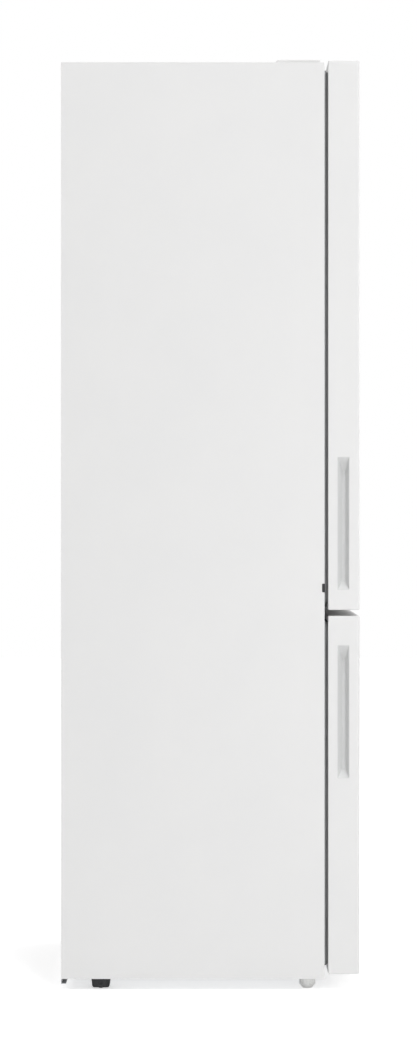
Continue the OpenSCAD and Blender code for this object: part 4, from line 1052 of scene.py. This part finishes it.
def make_fan():
    """Five cambered blades that flatten towards their tips, round a domed hub"""
    rings = []
    for share in (0, 0.12, 0.3, 0.5, 0.7, 0.88, 0.97, 1):
        r = 12.6 + 29 * share
        lean = math.radians(44 - 17 * share)
        chord = (19 + 11 * share) * (1 if share < 0.9 else 1 - 4 * (share - 0.9))
        ring = []
        for k in range(16):
            t, side = (k / 8, 1) if k < 8 else ((16 - k) / 8, -1)
            along = (t - 0.5) * chord
            thick = 0.85 * side * math.sqrt(max(0.02, 4 * t * (1 - t)))
            camber = 1.9 * (1 - (2 * t - 1) ** 2)
            ring.append((r, along * math.cos(lean) - (camber + thick) * math.sin(lean),
                7 + along * math.sin(lean) * 0.94 + (camber + thick) * math.cos(lean)))
        rings.append(ring)
    centre = (middle_of("fan_blade").x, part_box("fan_blade")[0].y, middle_of("fan_blade").z)
    blades = RING.make("fan_blades", "fan", "fan_white", Part=lofted("fan_blade_shape", rings),
        Count=5, Centre=centre, Turn=(-math.pi / 2, 0, 0))
    hub = turned("fan_hub", [(0.1, 0), (7, 0.2), (11, 1), (13.2, 2.8), (14, 5), (14, 15.4),
        (13.4, 16), (12, 16), (11.8, 6), (4, 5.6), (3.6, 15), (2.4, 15.2), (2.2, 6), (0.1, 5.8)],
        40)
    finished(moved(aimed(hub, (0, 1, 0)), centre), "fan", "fan_white")
    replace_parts(blades, "fan_blade")


def make_fan_grille():
    """Round grille over the fan's mouth: 24 spokes and four hoops in one moulding"""
    spokes, overlap = 24, 1.02
    bars = [[[(r, 0.7, 0), (r, 0, 1.8), (r, -0.7, 0), (r, 0, -0.6)] for r in (12.5, 30, 46.4)]]
    for hoop in (13, 23, 33, 43):
        turns = [2 * math.pi / spokes * (k / 3 - 0.5) * overlap for k in range(4)]
        bars.append([[(r * math.cos(a), r * math.sin(a), z) for r, z in
            ((hoop - 0.8, 0.1), (hoop, 1.7), (hoop + 0.8, 0.1), (hoop, -0.5))] for a in turns])
    front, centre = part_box("evaporator_cover")[0].y, middle_of("fan_blade")
    RING.make("fan_grille", "cabinet", "moulded_white", Part=lofted("grille_spoke", *bars),
        Count=spokes, Centre=(centre.x, front + 0.0008, centre.z), Turn=(math.pi / 2, 0, 0))


def make_evaporator():
    """Finned tube block: thin fins, two end plates and one tube bent through them"""
    low, high = box_mm("evaporator")
    x_end, bend, pitch, row, levels, fins = 185, 15, 30, 26, 4, 47
    y0, z0 = low.y, box_mm("evaporator_cover")[0].z + 20
    front, back = y0 + row * 0.5, y0 + row * 1.5

    def runs(y, levels_in_turn):
        """Ends of the runs from side to side in one row of the block"""
        return [((-1) ** (i + 1) * (x_end + bend), y, z0 + pitch * (level + 0.5))
            for i, turn in enumerate(zip(levels_in_turn, levels_in_turn[1:])) for level in turn]

    top_z = z0 + pitch * (levels - 0.5)
    path = [(x_end, front, z0 + pitch / 2), *runs(front, range(levels)),
        (x_end + 13, front, top_z), (x_end + 13, back, top_z),
        *runs(back, range(levels - 1, -1, -1)), (x_end, back, z0 + pitch / 2)]
    tube = TUBE.make("evaporator_tube", "cabinet", "aluminium",
        Path=hidden_curve("evaporator_path", path), Bend=bend / 1000, Radius=0.004)
    depth, height = 2 * row, levels * pitch
    fin = lofted("evaporator_fin", [[(x, 0, 0), (x, depth, 0), (x, depth, height),
        (x, 0, height)] for x in (-0.15, 0.15)])
    ROW.make("evaporator_fins", "cabinet", "aluminium", Part=fin, Count=fins,
        First=mm(-x_end + 19, y0, z0), Step=mm((2 * x_end - 38) / (fins - 1), 0, 0))
    for side, name in ((-1, "left_end_plate"), (1, "right_end_plate")):
        inner, outer, lip = [side * (x_end - x) for x in (13, 11.8, 19)]
        end_plate = lofted(name, [
            [(inner, y0, z), (inner, y0 + depth, z), (lip, y0 + depth, z),
             (lip, y0 + depth + 0.8, z), (outer, y0 + depth + 0.8, z), (outer, y0 - 0.2, z),
             (lip, y0 - 0.2, z), (lip, y0, z)]
            for z in (low.z, low.z + 30, high.z - 30, high.z)])
        finished(end_plate, "cabinet", "aluminium")
    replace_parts(tube, "evaporator")


# Machine compartment and supports

def make_machine_compartment():
    for node, radius in (("compressor", 2.5), ("compressor_mounts", 1.5), ("drip_tray", 1.5),
            ("power_box", 1.5)):
        dress(node, radius)
    low, high = box_mm("power_box")
    spots = [(x, y, high.z) for x in (low.x + 9, high.x - 9) for y in (low.y + 9, low.y + 151)]
    on_spots("power_box_screws", "screw_steel",
        cross_head("box_screw_head", 3.4, 1.3, 0.4, (0, 0, 1)), spots)
    rib = bead("power_box_rib", 60, 3, 1.2, (1, 0, 0), (0, 0, 1))
    ROW.make("power_box_ribs", "cabinet", "black_plastic", Part=rib,
        Count=14, First=mm((low.x + high.x) / 2, low.y + 28, high.z), Step=mm(0, 8, 0))
    fin = bead("relay_cover_rib", 44, 2.6, 1.4, (0, 0, 1), (-1, 0, 0))
    ROW.make("relay_cover_ribs", "cabinet", "black_plastic",
        Part=fin, Count=6, First=mm(12, 196, 120.5), Step=mm(0, 8, 0))


def make_lines():
    """Drawn copper lines bent round a mandrel, the drier, and the sleeve on the cold line"""
    runs = {
        "discharge_line": (2.4, 12, [(90, 288, 112.5), (90, 312, 112.5), (-283.9, 312, 112.5),
            (-283.9, 250, 112.5), (-293.9, 250, 122.5), (-293.9, 250, 180.5)]),
        "liquid_line": (2.4, 9, [(293.9, 250, 180.5), (293.9, 250, 170.5), (250, 250, 170.5),
            (250, 250, 158)]),
        "suction_line": (4, 14, [(182, 233, 112.5), (220, 233, 112.5), (220, 233, 355.5),
            (185, 233, 355.5)]),
        "capillary": (1, 7, [(250, 250, 88), (250, 250, 70), (233, 243, 62), (231, 234, 90),
            (227, 229, 262)]),
    }
    for name, (radius, bend, points) in runs.items():
        line = TUBE.make(name, "cabinet", "copper",
            Path=hidden_curve(name + "_path", points), Bend=bend / 1000, Radius=radius / 1000)
        if name == "suction_line":
            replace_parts(line, "refrigerant_lines")
    TUBE.make("line_sleeve", "cabinet", "dark_rubber", SLEEVE,
        Path=hidden_curve("sleeve_path", [(220, 233, 140), (220, 233, 262)]), Bend=0.001,
        Radius=0.0075)
    drier = turned("filter_drier", [(0.1, 0), (1.6, 0), (1.9, 3), (2.4, 9), (6, 14), (8, 18),
        (8, 24), (7.6, 25), (8, 26), (8, 60), (7.4, 63), (3.4, 69), (2.8, 75), (0.1, 75)], 28)
    finished(moved(drier, mm(250, 250, 85.5)), "cabinet", "copper")


def make_supports():
    for side in ("left", "right"):
        foot, roller = "front_foot_" + side, "rear_roller_" + side
        dress(foot, 1.0)
        centre = middle_of(foot)
        THREAD.make("stud_thread_" + side, "foot_" + side, "foot_plastic",
            Radius=0.00488, Turns=20.0, Height=0.031, Ridge=0.0004,
            Foot=(centre.x, centre.y, 0.0282))
        wheel = turned("roller_body_" + side, [(0.1, -15.5), (2.6, -15.5), (3, -15.1),
            (3, -11), (6, -11), (6, -7), (9.4, -7), (10, -7.6), (10, -10), (12.9, -10),
            (13.6, -9.3), (13.6, 9.3), (12.9, 10), (10, 10), (10, 7.6), (9.4, 7), (6, 7),
            (6, 11), (3, 11), (3, 15.1), (2.6, 15.5), (0.1, 15.5)], 48)
        centre = middle_of(roller)
        wheel = moved(aimed(wheel, (1, 0, 0)), centre)
        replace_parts(finished(wheel, "roller_" + side, "roller_plastic"), roller)
        tread = bead("tread_bar_" + side, 18.4, 1.6, 0.5, (0, 0, 1), (1, 0, 0))
        moved(tread, mm(13.49, 0, 0))
        RING.make("roller_treads_" + side, "roller_" + side, "roller_plastic",
            FINISHES["dark_rubber"], Part=tread, Count=32, Centre=centre,
            Turn=(0, math.pi / 2, 0))


make_cabinet()
make_screws()
make_sheet_beads()
make_doors()
make_fridge_inside()
make_louvres()
make_lens_flutes()
make_dial_marks()
make_front_beads()
make_freezer_inside()
make_fan()
make_fan_grille()
make_evaporator()
make_machine_compartment()
make_lines()
make_supports()

bpy.context.scene.view_settings.view_transform = "Standard"
